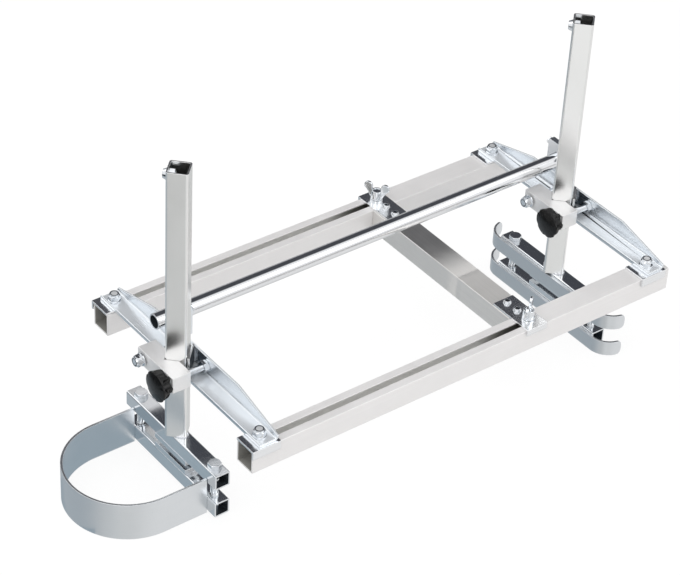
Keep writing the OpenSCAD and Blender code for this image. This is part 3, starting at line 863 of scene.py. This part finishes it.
@dataclass
class Welds:
    """Welding beads: uneven tubes of metal along a seam.

    Args:
        radius: Mean radius of a bead.
        seed: Seed of the ripples.
        step: Distance between two ripples.
        sides: Facets round a bead.
        ripple: How far every other ring is thicker or thinner, as a share of the radius.
        uneven: How far any ring may be so at random.
        sway: How far a ring may stray from the seam along each axis.
        taper: Share of a half wave of thickness that is left out at each end, which so isn't a point.
        blunt: Power of that half wave: the less it is, the blunter the ends are.
    """

    radius: float
    seed: int
    step: float = 1.3 * MM
    sides: int = 10
    ripple: float = 0.16
    uneven: float = 0.14
    sway: float = 0.25 * MM
    taper: float = 0.08
    blunt: float = 0.45

    def bead(self, mesh: Mesh, start: Vector, end: Vector) -> None:
        """Add one bead.

        Args:
            mesh: The mesh that it goes to.
            start: Where its seam starts.
            end: Where the seam ends.
        """
        draw = random.Random(f"{self.seed} {start.x:.3f} {start.y:.3f} {end.x:.3f} {end.y:.3f}")
        run = end - start
        count = max(4, round(run.length / self.step))
        rings = []
        for i in range(count + 1):
            ripple = 1 + self.ripple * math.cos(i * math.pi) + draw.uniform(-self.uneven, self.uneven)
            share = self.taper + (1 - 2 * self.taper) * i / count
            reach = self.radius * ripple * math.sin(math.pi * share) ** self.blunt
            stray = Vector((draw.uniform(-1, 1), draw.uniform(-1, 1), draw.uniform(-1, 1))) * self.sway
            place = along(run.normalized(), start + run * (i / count) + stray)
            rings.append([place @ Vector((-reach * math.sin(a), reach * math.cos(a), 0))
                          for a in turns(self.sides)])
        mesh.sweep(rings)

    def piece(self, name: str, seams: Iterable[tuple[Vector, Vector]], body: str, slot: Slot) -> None:
        """Make one piece of several beads.

        Args:
            name: Name of the piece.
            seams: Start and end of each seam.
            body: The body that it rides on.
            slot: The record's slot.
        """
        mesh = Mesh()
        for start, end in seams:
            self.bead(mesh, start, end)
        mesh.piece(name, WELD_METAL, body, slot, smooth=80)


@dataclass(frozen=True)
class LockRing:
    """The nylon ring that shows in a locking nut's collar.

    Args:
        outer_r: Its outer radius.
        bore_r: Radius of its bore.
        height: How far it stands up.
        shoulder: Height at which its chamfers start.
        outer_chamfer: Width of its outer chamfer.
        bore_chamfer: Width of its inner chamfer.
        sink: How far its foot is sunk in the nut.
        steps: Facets round it.
    """

    outer_r: float = 4.7 * MM
    bore_r: float = 4 * MM
    height: float = 0.35 * MM
    shoulder: float = 0.21 * MM
    outer_chamfer: float = 0.3 * MM
    bore_chamfer: float = 0.2 * MM
    sink: float = 0.05 * MM
    steps: int = 32

    def at(self, place: Vector, direction: Vector) -> Mesh:
        """Make the ring at the middle of a nut's end.

        Args:
            place: The middle of the nut's end.
            direction: The way that the end faces.

        Returns:
            The ring.
        """
        outline = [(self.bore_r, 0), (self.outer_r, 0), (self.outer_r, self.shoulder),
                   (self.outer_r - self.outer_chamfer, self.height),
                   (self.bore_r + self.bore_chamfer, self.height), (self.bore_r, self.shoulder),
                   (self.bore_r, 0)]
        return Mesh().spin(outline, self.steps).move(along(direction, place - direction * self.sink))


@dataclass
class Rails:
    """The two slotted rails."""

    edge: float = 0.5 * MM
    wall: float = 1.6 * MM

    def build(self) -> None:
        """Dress both rails."""
        # The rails' insides get a pale lining with painted shade near the ends
        for name in ("front_rail", "back_rail"):
            dress(name, MILL_ALUMINIUM, "frame", Slot.RAIL, self.edge, lining=RAIL_INSIDE,
                  inside=box_inside(name, 0, self.wall))


@dataclass
class EndBracket:
    """One end's bracket, foot plates, post guide and rail fasteners.

    Args:
        side: The end that it is at.
        edge: Width of its plates' rounded edges.
        bolt_edge: Width of the rail bolts' rounded ends.
        washer_r: Radius of the washers under the rail nuts.
        weld_r: Radius of the post guide's two weld beads.
        weld_in: How far inside the guide's right edge they run.
        weld_out: How far each is from the mill's middle plane.
        weld_low: How far above the guide's foot they start.
        weld_high: How far below its top they end.
    """

    side: Side
    edge: float = 0.45 * MM
    bolt_edge: float = 0.5 * MM
    washer_r: float = 8 * MM
    weld_r: float = 1.3 * MM
    weld_in: float = 1.2 * MM
    weld_out: float = 2.6 * MM
    weld_low: float = 4 * MM
    weld_high: float = 3 * MM

    def build(self) -> None:
        """Dress the bracket and what is fixed to it."""
        name, body = self.side.node, self.side.carrier
        dress(name("bracket"), ZINC_SHEET, body, Slot.SHEET, 2 * self.edge)
        dress(name("foot_plates"), ZINC_PLATE, body, Slot.SHEET, self.edge)
        # The post guide's V gets painted shade: the dark corner against the flange
        dress(name("post_guide"), POST_STEEL, body, Slot.SHEET, self.edge, lining=PAINTED_SHADE_ZINC,
              inside=self.guide_shaded_face)
        dress(name("rail_bolts"), BOLT_END, body, Slot.FASTENER, self.bolt_edge)
        bright(name("rail_nuts"), body, NUT_EDGE)
        self.rings(body)
        self.guide_welds(body)

    @staticmethod
    def guide_shaded_face(place: Vector, normal: Vector) -> bool:
        """Tell the faces of the post guide's V, inner and outer, which get painted shade, from its edges by
        middle and normal.
        """
        return normal.x > 0.5 or (normal.x < -0.5 and normal.y * place.y < 0)

    def rings(self, body: str) -> None:
        """Add the nylon rings of the rail nuts.

        Args:
            body: The body that they ride on.
        """
        nuts = self.side.node("rail_nuts")
        mesh = Mesh()
        for top in both_ends(nuts, self.washer_r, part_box(nuts)[1].z):
            mesh.join(LockRing().at(top, Z_AXIS))
        mesh.piece(self.side.node("rail_nut_rings"), NYLON, body, Slot.KNOB)

    def guide_welds(self, body: str) -> None:
        """Add the beads that hold the post guide to the flange and the web.

        Args:
            body: The body that they ride on.
        """
        low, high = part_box(self.side.node("post_guide"))
        x = high.x - self.weld_in
        seams = [(Vector((x, y, low.z + self.weld_low)), Vector((x, y, high.z - self.weld_high)))
                 for y in (-self.weld_out, self.weld_out)]
        Welds(self.weld_r, 7).piece(self.side.node("guide_welds"), seams, body, Slot.SHEET)


@dataclass
class Knob:
    """A clamp knob: a domed cap on six lobes, with round flutes that nick the cap's rim.

    Args:
        side: The end that the knob is at.
        lobes: Number of lobes.
        around: Points round each ring.
        flute_r: Radius of a flute.
        depth: How far a flute cuts into the lobes.
        nick: How far it cuts into the cap's rim.
        cap: Height of the cap's wall, and radius of its rounded rim.
        slope: Height over which a flute runs out below the cap.
        dome: How much the cap bulges.
        blend: How softly a flute's edges run out.
        hub: Radius of the flat middle on the washer's side, as a share of the knob's.
        foot: The rounding there, as points: how far inside the crown and how high each lies, and how much
            shallower the flutes are at it.
        waist: Such a point where the lobes' straight sides start.
        shoulder: How far inside the crown those sides end.
        rim_nick: Share of the nicks that the rounded rim leaves.
        whole: Share of the dome, from its middle, that the nicks leave whole.
        side_rows: Rings between the ends of the lobes' straight sides, and one.
        slope_rows: Rings in the slope.
        rim_rows: Rings in the rounded rim.
        dome_rows: Rings in the dome, and one.
    """

    side: Side
    lobes: int = 6
    around: int = 192
    flute_r: float = 7.2 * MM
    depth: float = 7.4 * MM
    nick: float = 1.0 * MM
    cap: float = 1.5 * MM
    slope: float = 3.6 * MM
    dome: float = 2.6 * MM
    blend: float = 0.6 * MM
    hub: float = 0.3
    foot: tuple[Triple, ...] = ((4.6 * MM, 0.0, 3.6 * MM), (3.6 * MM, 0.5 * MM, 2.4 * MM),
                                (2.7 * MM, 1.8 * MM, 1.2 * MM))
    waist: Triple = (1.9 * MM, 3 * MM, 0.6 * MM)
    shoulder: float = 0.7 * MM
    rim_nick: float = 0.75
    whole: float = 0.55
    side_rows: int = 4
    slope_rows: int = 8
    rim_rows: int = 5
    dome_rows: int = 8

    def build(self) -> None:
        """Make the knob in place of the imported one."""
        node = self.side.node("knob")
        middle, size = middle_of(node), size_of(node)
        place = along(-X_AXIS, middle + X_AXIS * (size.x / 2))
        self.moulding(size.z / 2, size.x).move(place).piece(
            self.side.node("knob_moulding"), BLACK_PLASTIC, node, Slot.KNOB, [node], smooth=75)

    def rings(self, radius: float, height: float) -> list[Triple]:
        """Work out the rings from the washer to the cap's middle.

        Args:
            radius: Radius over the lobes.
            height: Height of the knob.

        Returns:
            Crown radius, height and flute depth of each ring.
        """
        under = height - self.dome - self.cap - self.slope
        rows = [(radius * self.hub, 0.0, 0.0)]
        rows += [(radius - inset, level, self.depth - less) for inset, level, less in self.foot]
        # The lobes' straight sides
        inset, level, less = self.waist
        for share in (i / self.side_rows for i in range(self.side_rows + 1)):
            rows.append((radius - inset + (inset - self.shoulder) * share, level + (under - level) * share,
                         self.depth - less * (1 - share)))
        # The slope in which the flutes run out
        for rise in (i / self.slope_rows for i in range(1, self.slope_rows + 1)):
            share = 0.5 - 0.5 * math.cos(math.pi * rise)
            rows.append((radius - self.shoulder * (1 - share), under + self.slope * rise,
                         self.depth + (self.nick - self.depth) * share))
        # The cap's rounded rim
        for share in (i / self.rim_rows for i in range(1, self.rim_rows + 1)):
            angle = math.pi / 2 * share
            rows.append((radius - self.cap * (1 - math.cos(angle)),
                         height - self.dome - self.cap * (1 - math.sin(angle)),
                         self.nick * (1 - (1 - self.rim_nick) * share)))
        # The dome
        for share in (1 - i / self.dome_rows for i in range(1, self.dome_rows)):
            left = max(0.0, share - self.whole) / (1 - self.whole)
            rows.append(((radius - self.cap) * share, height - self.dome * share ** 2,
                         self.nick * self.rim_nick * left))
        return rows

    def outline(self, angle: float, crown: float, depth: float) -> float:
        """Work out how far a ring reaches: its crown, cut by round flutes with soft edges.

        Args:
            angle: The angle round the knob.
            crown: The ring's crown radius.
            depth: How deep its flutes are.

        Returns:
            The ring's radius at the angle.
        """
        period = 2 * math.pi / self.lobes
        turn = (angle + period / 2) % period - period / 2
        if depth <= 0:
            return crown
        center = crown + self.flute_r - depth
        across = center * math.sin(turn)
        if abs(across) >= self.flute_r:
            return crown
        flute = center * math.cos(turn) - math.sqrt(self.flute_r ** 2 - across ** 2)
        share = max(0.0, min(1.0, 0.5 + 0.5 * (crown - flute) / self.blend))
        return crown + (flute - crown) * share - self.blend * share * (1 - share) * 0.5

    def moulding(self, radius: float, height: float) -> Mesh:
        """Make the knob about Z, its washer side at the origin.

        Args:
            radius: Radius over the lobes.
            height: Height of the knob.

        Returns:
            The knob.
        """
        rings = []
        for crown, level, depth in self.rings(radius, height):
            reaches = [(a, self.outline(a, crown, depth)) for a in turns(self.around)]
            rings.append([Vector((reach * math.cos(a), reach * math.sin(a), level)) for a, reach in reaches])
        return Mesh().sweep(rings)


@dataclass
class PostClamp:
    """The block that presses a post into its guide, with its bolts and knob.

    Args:
        side: The end that it is at.
        edge: Width of the block's rounded edges.
        hinge_thread: Length of the hinge bolt's thread.
        bolt: The thread of the hinge bolt and the knob's stud.
    """

    side: Side
    edge: float = 0.5 * MM
    hinge_thread: float = 14 * MM
    bolt: Thread = Thread(4 * MM)

    def build(self) -> None:
        """Dress the block and its fasteners."""
        name, carrier = self.side.node, self.side.carrier
        dress(name("clamp_block"), CUT_ALUMINIUM, name("block"), Slot.BLOCK, self.edge)
        bright(name("weld_nut"), carrier, NUT_EDGE)
        bright(name("knob_washer"), name("knob"), WASHER_EDGE)
        self.stud()
        self.hinge()
        Knob(self.side).build()

    def stud(self) -> None:
        """Make the knob's threaded stud."""
        name = self.side.node
        middle, length = middle_of(name("knob_stud")), size_of(name("knob_stud")).x
        place = along(X_AXIS, middle - X_AXIS * (length / 2))
        self.bolt.rod(length).move(place).piece(name("knob_stud_thread"), BRIGHT_STEEL, name("knob"),
                                                Slot.FASTENER, [name("knob_stud")], smooth=30)

    def hinge(self) -> None:
        """Dress the hinge bolt, its thread and its locking nut."""
        name, carrier = self.side.node, self.side.carrier
        bolt = name("hinge_bolt")
        middle = middle_of(bolt)
        start = Vector((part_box(bolt)[0].x + self.hinge_thread, middle.y, middle.z))
        bright(bolt, carrier, HEAD_EDGE, threaded(bolt, [start], -X_AXIS, self.hinge_thread, self.bolt))
        bright(name("hinge_nut"), carrier, NUT_EDGE)
        end = Vector((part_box(name("hinge_nut"))[0].x, middle.y, middle.z))
        LockRing().at(end, -X_AXIS).piece(name("hinge_nut_ring"), NYLON, carrier, Slot.KNOB)


@dataclass
class HeightPost:
    """A square post that stands on edge, with its stop bolt and the weld at its foot.

    Args:
        side: The end that it is at.
        edge: Width of its rounded edges.
        wall: How deep its inner walls lie.
        weld_r: Radius of the weld.
        weld_lift: How far the weld's middle is above the post's foot.
        weld_in: How far inside the clamp tube's sides the weld starts.
    """

    side: Side
    edge: float = 0.4 * MM
    wall: float = 1.2 * MM
    weld_r: float = 1.9 * MM
    weld_lift: float = 0.6 * MM
    weld_in: float = 1.6 * MM

    def build(self) -> None:
        """Dress the post and its stop bolt, and weld its foot."""
        post = self.side.node("post")
        # The post's inner walls get painted shade
        dress(post, POST_STEEL, post, Slot.POST, self.edge, lining=PAINTED_SHADE_ZINC,
              inside=turned_inside(post, self.wall))
        bright(self.side.node("stop_bolt"), post, HEAD_EDGE)
        self.weld(post)

    def weld(self, post: str) -> None:
        """Weld the post's sides to the clamp tube, from the tube's sides to the post's corners on it.

        Args:
            post: The post's node, and its body.
        """
        middle, reach = middle_of(post), size_of(post).x / 2
        foot = Vector((middle.x, middle.y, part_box(post)[0].z + self.weld_lift))
        tube_half = size_of(self.side.node("upper_tube")).x / 2
        share = max(0.0, 1 - (tube_half - self.weld_in) / reach)
        seams = []
        for right, back in ((1, 1), (-1, 1), (-1, -1), (1, -1)):
            across, lengthways = foot + Vector((reach * right, 0, 0)), foot + Vector((0, reach * back, 0))
            seams.append((across.lerp(lengthways, share), lengthways))
        Welds(self.weld_r, 11).piece(self.side.node("post_weld"), seams, post, Slot.POST)


@dataclass
class BarClamp:
    """The two square tubes, pads and bolts that grip the saw's guide bar.

    Args:
        side: The end that it is at.
        edge: Width of the tubes' and pads' rounded edges.
        wall: How deep the tubes' inner walls lie.
        thread_length: Length of the bolts' thread.
        head_r: Radius over the corners of their heads.
        bolt: Their thread.
    """

    side: Side
    edge: float = 0.35 * MM
    wall: float = 1.3 * MM
    thread_length: float = 26 * MM
    head_r: float = 7.15 * MM
    bolt: Thread = Thread(4.7 * MM, 1.5 * MM)

    def build(self) -> None:
        """Dress the clamp."""
        name = self.side.node
        post, jaw = name("post"), name("jaw")
        # The tubes' inner walls get painted shade
        for tube, body in (("upper_tube", post), ("lower_tube", jaw)):
            dress(name(tube), ZINC_TUBE, body, Slot.TUBE, self.edge, lining=PAINTED_SHADE_ZINC,
                  inside=box_inside(name(tube), 1, self.wall))
        for pad, body in (("upper_pad", post), ("lower_pad", jaw)):
            dress(name(pad), ZINC_TUBE, body, Slot.TUBE, self.edge)
        bright(name("clamp_nuts"), jaw, NUT_EDGE)
        bolts = name("clamp_bolts")
        starts = both_ends(bolts, self.head_r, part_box(bolts)[0].z + self.thread_length)
        bright(bolts, post, HEAD_EDGE, threaded(bolts, starts, -Z_AXIS, self.thread_length, self.bolt))


@dataclass
class Skid:
    """A flat bar on edge, both ends curled a quarter turn, its tips rounded.

    Args:
        node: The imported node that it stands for.
        body: The body that it rides on.
        thick: Thickness of the bar.
        straight: Half the length of its straight part.
        edge: Radius of its long edges.
        tip: Radius of the tips' corners.
        steps: Facets in a curl.
        tip_steps: Facets in a tip.
        edge_steps: Facets in an edge.
    """

    node: str
    body: str
    thick: float = 3 * MM
    straight: float = 92 * MM
    edge: float = 0.5 * MM
    tip: float = 6 * MM
    steps: int = 36
    tip_steps: int = 10
    edge_steps: int = 4

    def build(self) -> None:
        """Sweep the bar's section along its middle line."""
        radius = size_of(self.node).x - self.thick / 2
        rings = [self.ring(radius, angle) for angle in self.angles(radius)]
        mirrored = [[Vector((p.x, -p.y, p.z)) for p in ring] for ring in reversed(rings)]
        Mesh().sweep(mirrored + rings).piece(f"{self.node}_dressed", ZINC_STRIP, self.body, Slot.STRIP,
                                             [self.node])

    def angles(self, radius: float) -> list[float]:
        """Work out where the rings stand along the curl, closer together where the tip is rounded.

        Args:
            radius: The curl's radius at the bar's middle.

        Returns:
            Their angles from the curl's start.
        """
        last = math.pi / 2
        reach = self.tip / radius
        even = [last * i / self.steps for i in range(self.steps + 1) if last * i / self.steps < last - reach]
        return even + [last - reach * math.cos(math.pi / 2 * i / self.tip_steps)
                       for i in range(self.tip_steps + 1)]

    def ring(self, radius: float, angle: float) -> list[Vector]:
        """Work out the bar's section in the curl at its +Y end.

        Args:
            radius: The curl's radius at the bar's middle.
            angle: The angle from the curl's start.

        Returns:
            The section's points, its edges rounded.
        """
        low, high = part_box(self.node)
        outward = Vector((-math.cos(angle), math.sin(angle), 0))
        middle = Vector((high.x, self.straight, (low.z + high.z) / 2)) + outward * radius
        left = (math.pi / 2 - angle) * radius
        drop = self.tip - math.sqrt(max(0.0, self.tip ** 2 - max(0.0, self.tip - left) ** 2))
        half_z, half_t = (high.z - low.z) / 2 - drop, self.thick / 2
        points = []
        for corner, (side_t, side_z) in enumerate(((1, 1), (1, -1), (-1, -1), (-1, 1))):
            for i in range(self.edge_steps + 1):
                turn = math.pi / 2 * (corner + i / self.edge_steps)
                across = side_t * (half_t - self.edge) + math.sin(turn) * self.edge
                level = side_z * (half_z - self.edge) + math.cos(turn) * self.edge
                points.append(middle + outward * across + Z_AXIS * level)
        return points


@dataclass
class GuardAndSkids:
    """The nose guard and the two curled skids."""

    edge: float = 0.5 * MM

    def build(self) -> None:
        """Dress the guard and make the skids."""
        dress("nose_guard", ZINC_STRIP, "left_jaw", Slot.STRIP, self.edge)
        Skid("upper_skid", "right_post").build()
        Skid("lower_skid", "right_jaw").build()


@dataclass
class Handle:
    """The handle tube and the clamps that hold it."""

    edge: float = 0.4 * MM
    wall: float = 1 * MM

    def build(self) -> None:
        """Dress the handle and its clamps."""
        # The handle's inside gets painted shade
        dress("handle", HANDLE_STEEL, "frame", Slot.HANDLE, self.edge, lining=PAINTED_SHADE_ZINC,
              inside=round_inside("handle", self.wall))
        for side in Side:
            dress(side.node("handle_clamp"), EAR_SHEET, side.carrier, Slot.SHEET, self.edge)
            bright(side.node("pinch_bolt"), side.carrier, WASHER_EDGE)


@dataclass
class Brace:
    """The tube that braces the rails, its plates and its wing nuts.

    Args:
        edge: Width of the tube's, plates' and bolts' rounded edges.
        wing_edge: Width of the wing nuts' rounded edges.
        bolt_cut: How far below the bolts' ends they are cut for their thread.
        thread_length: Length of the thread that takes the cut end's place.
        head_r: Radius of the bolts' heads.
        thread: Their thread.
        socket_r: Radius of the screws' sockets.
        socket_rim: How far below the screws' tops their sockets' insides start.
        socket_floor: Lowest height of those insides above the brace's top.
        screw_pitch: Distance between a plate's two screws.
    """

    edge: float = 0.4 * MM
    wing_edge: float = 0.9 * MM
    bolt_cut: float = 16 * MM
    thread_length: float = 12 * MM
    head_r: float = 9 * MM
    thread: Thread = Thread(4 * MM)
    socket_r: float = 2.3 * MM
    socket_rim: float = 0.4 * MM
    socket_floor: float = 2 * MM
    screw_pitch: float = 18 * MM

    def build(self) -> None:
        """Dress the brace."""
        dress("brace", BRUSHED_ALUMINIUM, "brace", Slot.BRACE, self.edge)
        for name in ("front_brace_plate", "back_brace_plate"):
            dress(name, ZINC_PLATE, "brace", Slot.SHEET, self.edge)
        # The screws' sockets get painted shade
        dress("brace_screws", BRIGHT_STEEL, "brace", Slot.FASTENER, HEAD_EDGE, lining=PAINTED_SHADE_ZINC,
              inside=self.socket_inside())
        bright("brace_washers", "brace", WASHER_EDGE)
        starts = both_ends("brace_bolts", self.head_r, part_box("brace_bolts")[1].z - self.bolt_cut)
        bright("brace_bolts", "brace", self.edge,
               threaded("brace_bolts", starts, Z_AXIS, self.thread_length, self.thread))
        for name in ("front_wing_nut", "back_wing_nut"):
            mesh = Mesh.of_node(name).round_edges(self.wing_edge, 3)
            mesh.piece(f"{name}_dressed", BRIGHT_STEEL, name, Slot.FASTENER, [name], smooth=60)

    def socket_inside(self) -> InsideTest:
        """Make a test for the walls and floors of the four screws' sockets, which get painted shade.

        Returns:
            The test.
        """
        screws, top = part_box("brace_screws")[1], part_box("brace")[1].z
        middle_x = middle_of("brace_screws").x
        outer = screws.y - size_of("brace_screws").x / 2
        rows = (outer, outer - self.screw_pitch)
        return lambda p, n: (top + self.socket_floor < p.z < screws.z - self.socket_rim and min(
            math.hypot(p.x - middle_x, abs(p.y) - row) for row in rows) < self.socket_r)


@dataclass(frozen=True)
class Zone:
    """A soft round patch of the surround that only metal shows.

    Args:
        azimuth: Its azimuth from +X, in degrees.
        elevation: Its elevation, in degrees.
        core: How far its even part reaches from its middle, in degrees.
        rim: Where it ends.
        color: Its colour.
    """

    azimuth: float
    elevation: float
    core: float
    rim: float
    color: Color


@dataclass(frozen=True)
class DarkBand:
    """A dark band of the surround, under the horizon, that only metal shows.

    Args:
        rise: Span of a ray's Z over which it starts.
        fall: Span over which it ends.
        fade: Span, towards the surround's bright side, over which it fades.
        faded: How far it fades, from 0 to 1.
    """

    rise: Span
    fall: Span
    fade: Span
    faded: float


@dataclass(frozen=True)
class Lamp:
    """A soft square lamp.

    Args:
        name: Its name.
        azimuth: Its azimuth from +X, in degrees.
        elevation: Its elevation, in degrees.
        size: Length of its sides.
        power: Its power, in watts.
    """

    name: str
    azimuth: float
    elevation: float
    size: float
    power: float


@dataclass
class Studio:
    """A plain studio: white floor, soft lamps, a white surround with dark cards, and the camera.

    The camera stands where a fit of the photograph's edges puts it. The surround's spans are those of a
    ray's Z, or of how nearly it points to the bright side.
    """

    azimuth: float = -38.74
    elevation: float = 36.77
    roll: float = 3.26
    distance: float = 2.8721
    target: Triple = (32.551 * MM, 45.48 * MM, 130.0 * MM)
    focal_pixels: float = 2421.96
    image_width: int = 680
    sensor: float = 36.0
    clip_end: float = 50.0
    surround: float = 0.88
    bright_azimuth: float = 308.7
    horizon: Span = (-0.04, 0.05)
    ground: tuple[tuple[Span, Color], ...] = (((-0.75, -0.1), (0.66, 0.67, 0.67)),
                                              ((0.1, 0.75), (0.86, 0.86, 0.86)))
    ground_dark: Color = (0.45, 0.50, 0.54)
    ground_zones: tuple[Zone, ...] = (Zone(207.0, -48.0, 6.0, 12.0, (0.70, 0.73, 0.75)),
                                      Zone(228.0, -18.0, 14.5, 17.0, (1.1, 1.1, 1.1)),
                                      Zone(208.0, -30.0, 5.5, 11.0, (0.46, 0.46, 0.45)))
    sky: Color = (0.97, 0.975, 0.985)
    sky_zones: tuple[Zone, ...] = (Zone(51.3, 41.0, 29.5, 41.0, (0.062, 0.065, 0.076)),
                                   Zone(231.3, 62.0, 8.0, 22.0, (0.35, 0.35, 0.37)))
    near_band: DarkBand = DarkBand((-0.30, -0.20), (-0.10, -0.04), (-0.5, 0.1), 0.6)
    wide_band: DarkBand = DarkBand((-0.50, -0.42), (-0.02, 0.08), (-0.70, -0.40), 1.0)
    band_color: Color = (0.02, 0.025, 0.03)
    floor_r: float = 14.0
    floor_drop: float = 0.4 * MM
    card_length: float = 108 * MM
    card_y: float = 18 * MM
    card_drop: float = 0.2 * MM
    lamps: tuple[Lamp, ...] = (Lamp("key lamp", 215, 58, 1.6, 11.0), Lamp("side lamp", 300, 40, 1.4, 7.0),
                               Lamp("back lamp", 110, 50, 1.6, 6.0))
    lamp_distance: float = 2.4
    lamp_aim: float = 0.15

    def build(self) -> None:
        """Build the studio."""
        bpy.context.scene.view_settings.view_transform = "Standard"
        self.place_camera()
        self.light_world()
        self.lay_floor()
        self.lay_card()
        for lamp in self.lamps:
            self.hang(lamp)

    def place_camera(self) -> None:
        """Place the camera."""
        az, el, roll = (math.radians(v) for v in (self.azimuth, self.elevation, self.roll))
        back = Vector((math.sin(az) * math.cos(el), -math.cos(az) * math.cos(el), math.sin(el)))
        right = Vector((math.cos(az), math.sin(az), 0))
        up = back.cross(right)
        rolled_right = right * math.cos(roll) + up * math.sin(roll)
        rolled_up = up * math.cos(roll) - right * math.sin(roll)
        data = bpy.data.cameras.new("camera")
        data.sensor_width = self.sensor
        data.sensor_fit = "HORIZONTAL"
        data.lens = self.focal_pixels / self.image_width * self.sensor
        data.clip_end = self.clip_end
        camera = bpy.data.objects.new("camera", data)
        turn = Matrix((rolled_right, rolled_up, back)).transposed().to_4x4()
        camera.matrix_world = Matrix.Translation(Vector(self.target) + back * self.distance) @ turn
        bpy.context.scene.collection.objects.link(camera)
        bpy.context.scene.camera = camera

    def light_world(self) -> None:
        """Light the scene evenly, and show metal a white surround with soft dark cards."""
        world = bpy.data.worlds.new("studio")
        bpy.context.scene.world = world
        world.use_nodes = True
        graph = Graph(world.node_tree)
        rays = {name: graph.node("ShaderNodeLightPath", {}, {}, f"Is {name} Ray")
                for name in ("Camera", "Glossy", "Transmission")}
        plain, mirrored, white = (
            graph.node("ShaderNodeBackground", {}, {"Color": color, "Strength": strength})
            for color, strength in ((rgba((1, 1, 1)), self.surround), (self.seen_by_metal(graph), 1.0),
                                    (rgba((1, 1, 1)), 1.0)))
        shade = graph.node("ShaderNodeMixShader", {}, {
            0: rays["Glossy"].at_least(rays["Transmission"]), 1: plain, 2: mirrored})
        whole = graph.node("ShaderNodeMixShader", {}, {0: rays["Camera"], 1: shade, 2: white})
        graph.node("ShaderNodeOutputWorld", {}, {"Surface": whole})

    def seen_by_metal(self, graph: Graph) -> Value:
        """Add the nodes of the surround that only metal shows.

        Args:
            graph: Where they go.

        Returns:
            Its colour.
        """
        way = graph.node("ShaderNodeTexCoord", {}, {}, "Generated")
        level = graph.part(way, "Z")
        side = self.toward(graph, way, self.bright_azimuth, 0.0)
        ground: Any = rgba(self.ground_dark)
        for span, color in self.ground:
            ground = graph.mix(graph.smooth(side, span), ground, rgba(color))
        sky: Any = rgba(self.sky)
        for zone in self.ground_zones:
            ground = graph.mix(self.patch(graph, way, zone), ground, rgba(zone.color))
        for zone in self.sky_zones:
            sky = graph.mix(self.patch(graph, way, zone), sky, rgba(zone.color))
        near, wide = (graph.band(level, band.rise, band.fall)
                      * (1 - graph.smooth(side, band.fade) * band.faded)
                      for band in (self.near_band, self.wide_band))
        plain = graph.mix(graph.smooth(level, self.horizon), ground, sky)
        return graph.mix(near.at_least(wide), plain, rgba(self.band_color))

    def toward(self, graph: Graph, way: Value, azimuth: float, elevation: float) -> Value:
        """Return how nearly a ray points to an azimuth and elevation: 1 when it does, -1 opposite."""
        aim = self.heading(azimuth, elevation)
        return graph.node("ShaderNodeVectorMath", {"operation": "DOT_PRODUCT"}, {0: way, 1: aim}, "Value")

    def patch(self, graph: Graph, way: Value, zone: Zone) -> Value:
        """Return 1 in the middle of a zone, falling to 0 at its rim."""
        near = self.toward(graph, way, zone.azimuth, zone.elevation)
        return graph.smooth(near, (math.cos(math.radians(zone.rim)), math.cos(math.radians(zone.core))))

    @staticmethod
    def heading(azimuth: float, elevation: float) -> Vector:
        """Return the unit vector at an azimuth from +X and an elevation, in degrees."""
        az, el = math.radians(azimuth), math.radians(elevation)
        return Vector((math.cos(az) * math.cos(el), math.sin(az) * math.cos(el), math.sin(el)))

    @staticmethod
    def sheet(name: str, mesh: bmesh.types.BMesh, finish: Finish) -> bpy.types.Object:
        """Put a flat sheet of the studio in the scene.

        Args:
            name: Its name.
            mesh: Its mesh, which is freed.
            finish: Its finish.

        Returns:
            Its object.
        """
        data = bpy.data.meshes.new(name)
        mesh.to_mesh(data)
        mesh.free()
        data.materials.append(finish.material())
        made = bpy.data.objects.new(name, data)
        bpy.context.scene.collection.objects.link(made)
        return made

    def lay_floor(self) -> None:
        """Lay a white floor that keeps a faint shadow."""
        mesh = bmesh.new()
        bmesh.ops.create_circle(mesh, cap_ends=True, segments=64, radius=self.floor_r,
                                matrix=Matrix.Translation((0, 0, -self.floor_drop)))
        floor = self.sheet("floor", mesh, WHITE_FLOOR)
        floor.visible_glossy = False

    def lay_card(self) -> None:
        """Lay a glowing card inside the guard that only metal shows: a painted reflection of the shaded
        floor there.
        """
        mesh = bmesh.new()
        middle = Matrix.Translation((middle_of("nose_guard").x, self.card_y, -self.card_drop))
        spread = Matrix.Diagonal((size_of("nose_guard").x, self.card_length, 1, 1))
        bmesh.ops.create_grid(mesh, x_segments=1, y_segments=1, size=0.5, matrix=middle @ spread)
        card = self.sheet("guard shade card", mesh, FLOOR_SHADE_CARD)
        card.visible_camera = card.visible_diffuse = card.visible_shadow = False

    def hang(self, lamp: Lamp) -> None:
        """Hang a lamp that points at the mill.

        Args:
            lamp: The lamp.
        """
        data = bpy.data.lights.new(lamp.name, "AREA")
        data.shape = "SQUARE"
        data.size = lamp.size
        data.energy = lamp.power
        made = bpy.data.objects.new(lamp.name, data)
        away = self.heading(lamp.azimuth, lamp.elevation)
        made.matrix_world = along(away, away * self.lamp_distance + Z_AXIS * self.lamp_aim)
        bpy.context.scene.collection.objects.link(made)


def main() -> None:
    """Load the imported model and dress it."""
    logging.basicConfig(level=logging.INFO, format="%(name)s: %(message)s")
    FRAME.update(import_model())
    Studio().build()
    Rails().build()
    for side in Side:
        EndBracket(side).build()
        PostClamp(side).build()
        HeightPost(side).build()
        BarClamp(side).build()
    GuardAndSkids().build()
    Handle().build()
    Brace().build()


if __name__ == "__main__":
    main()
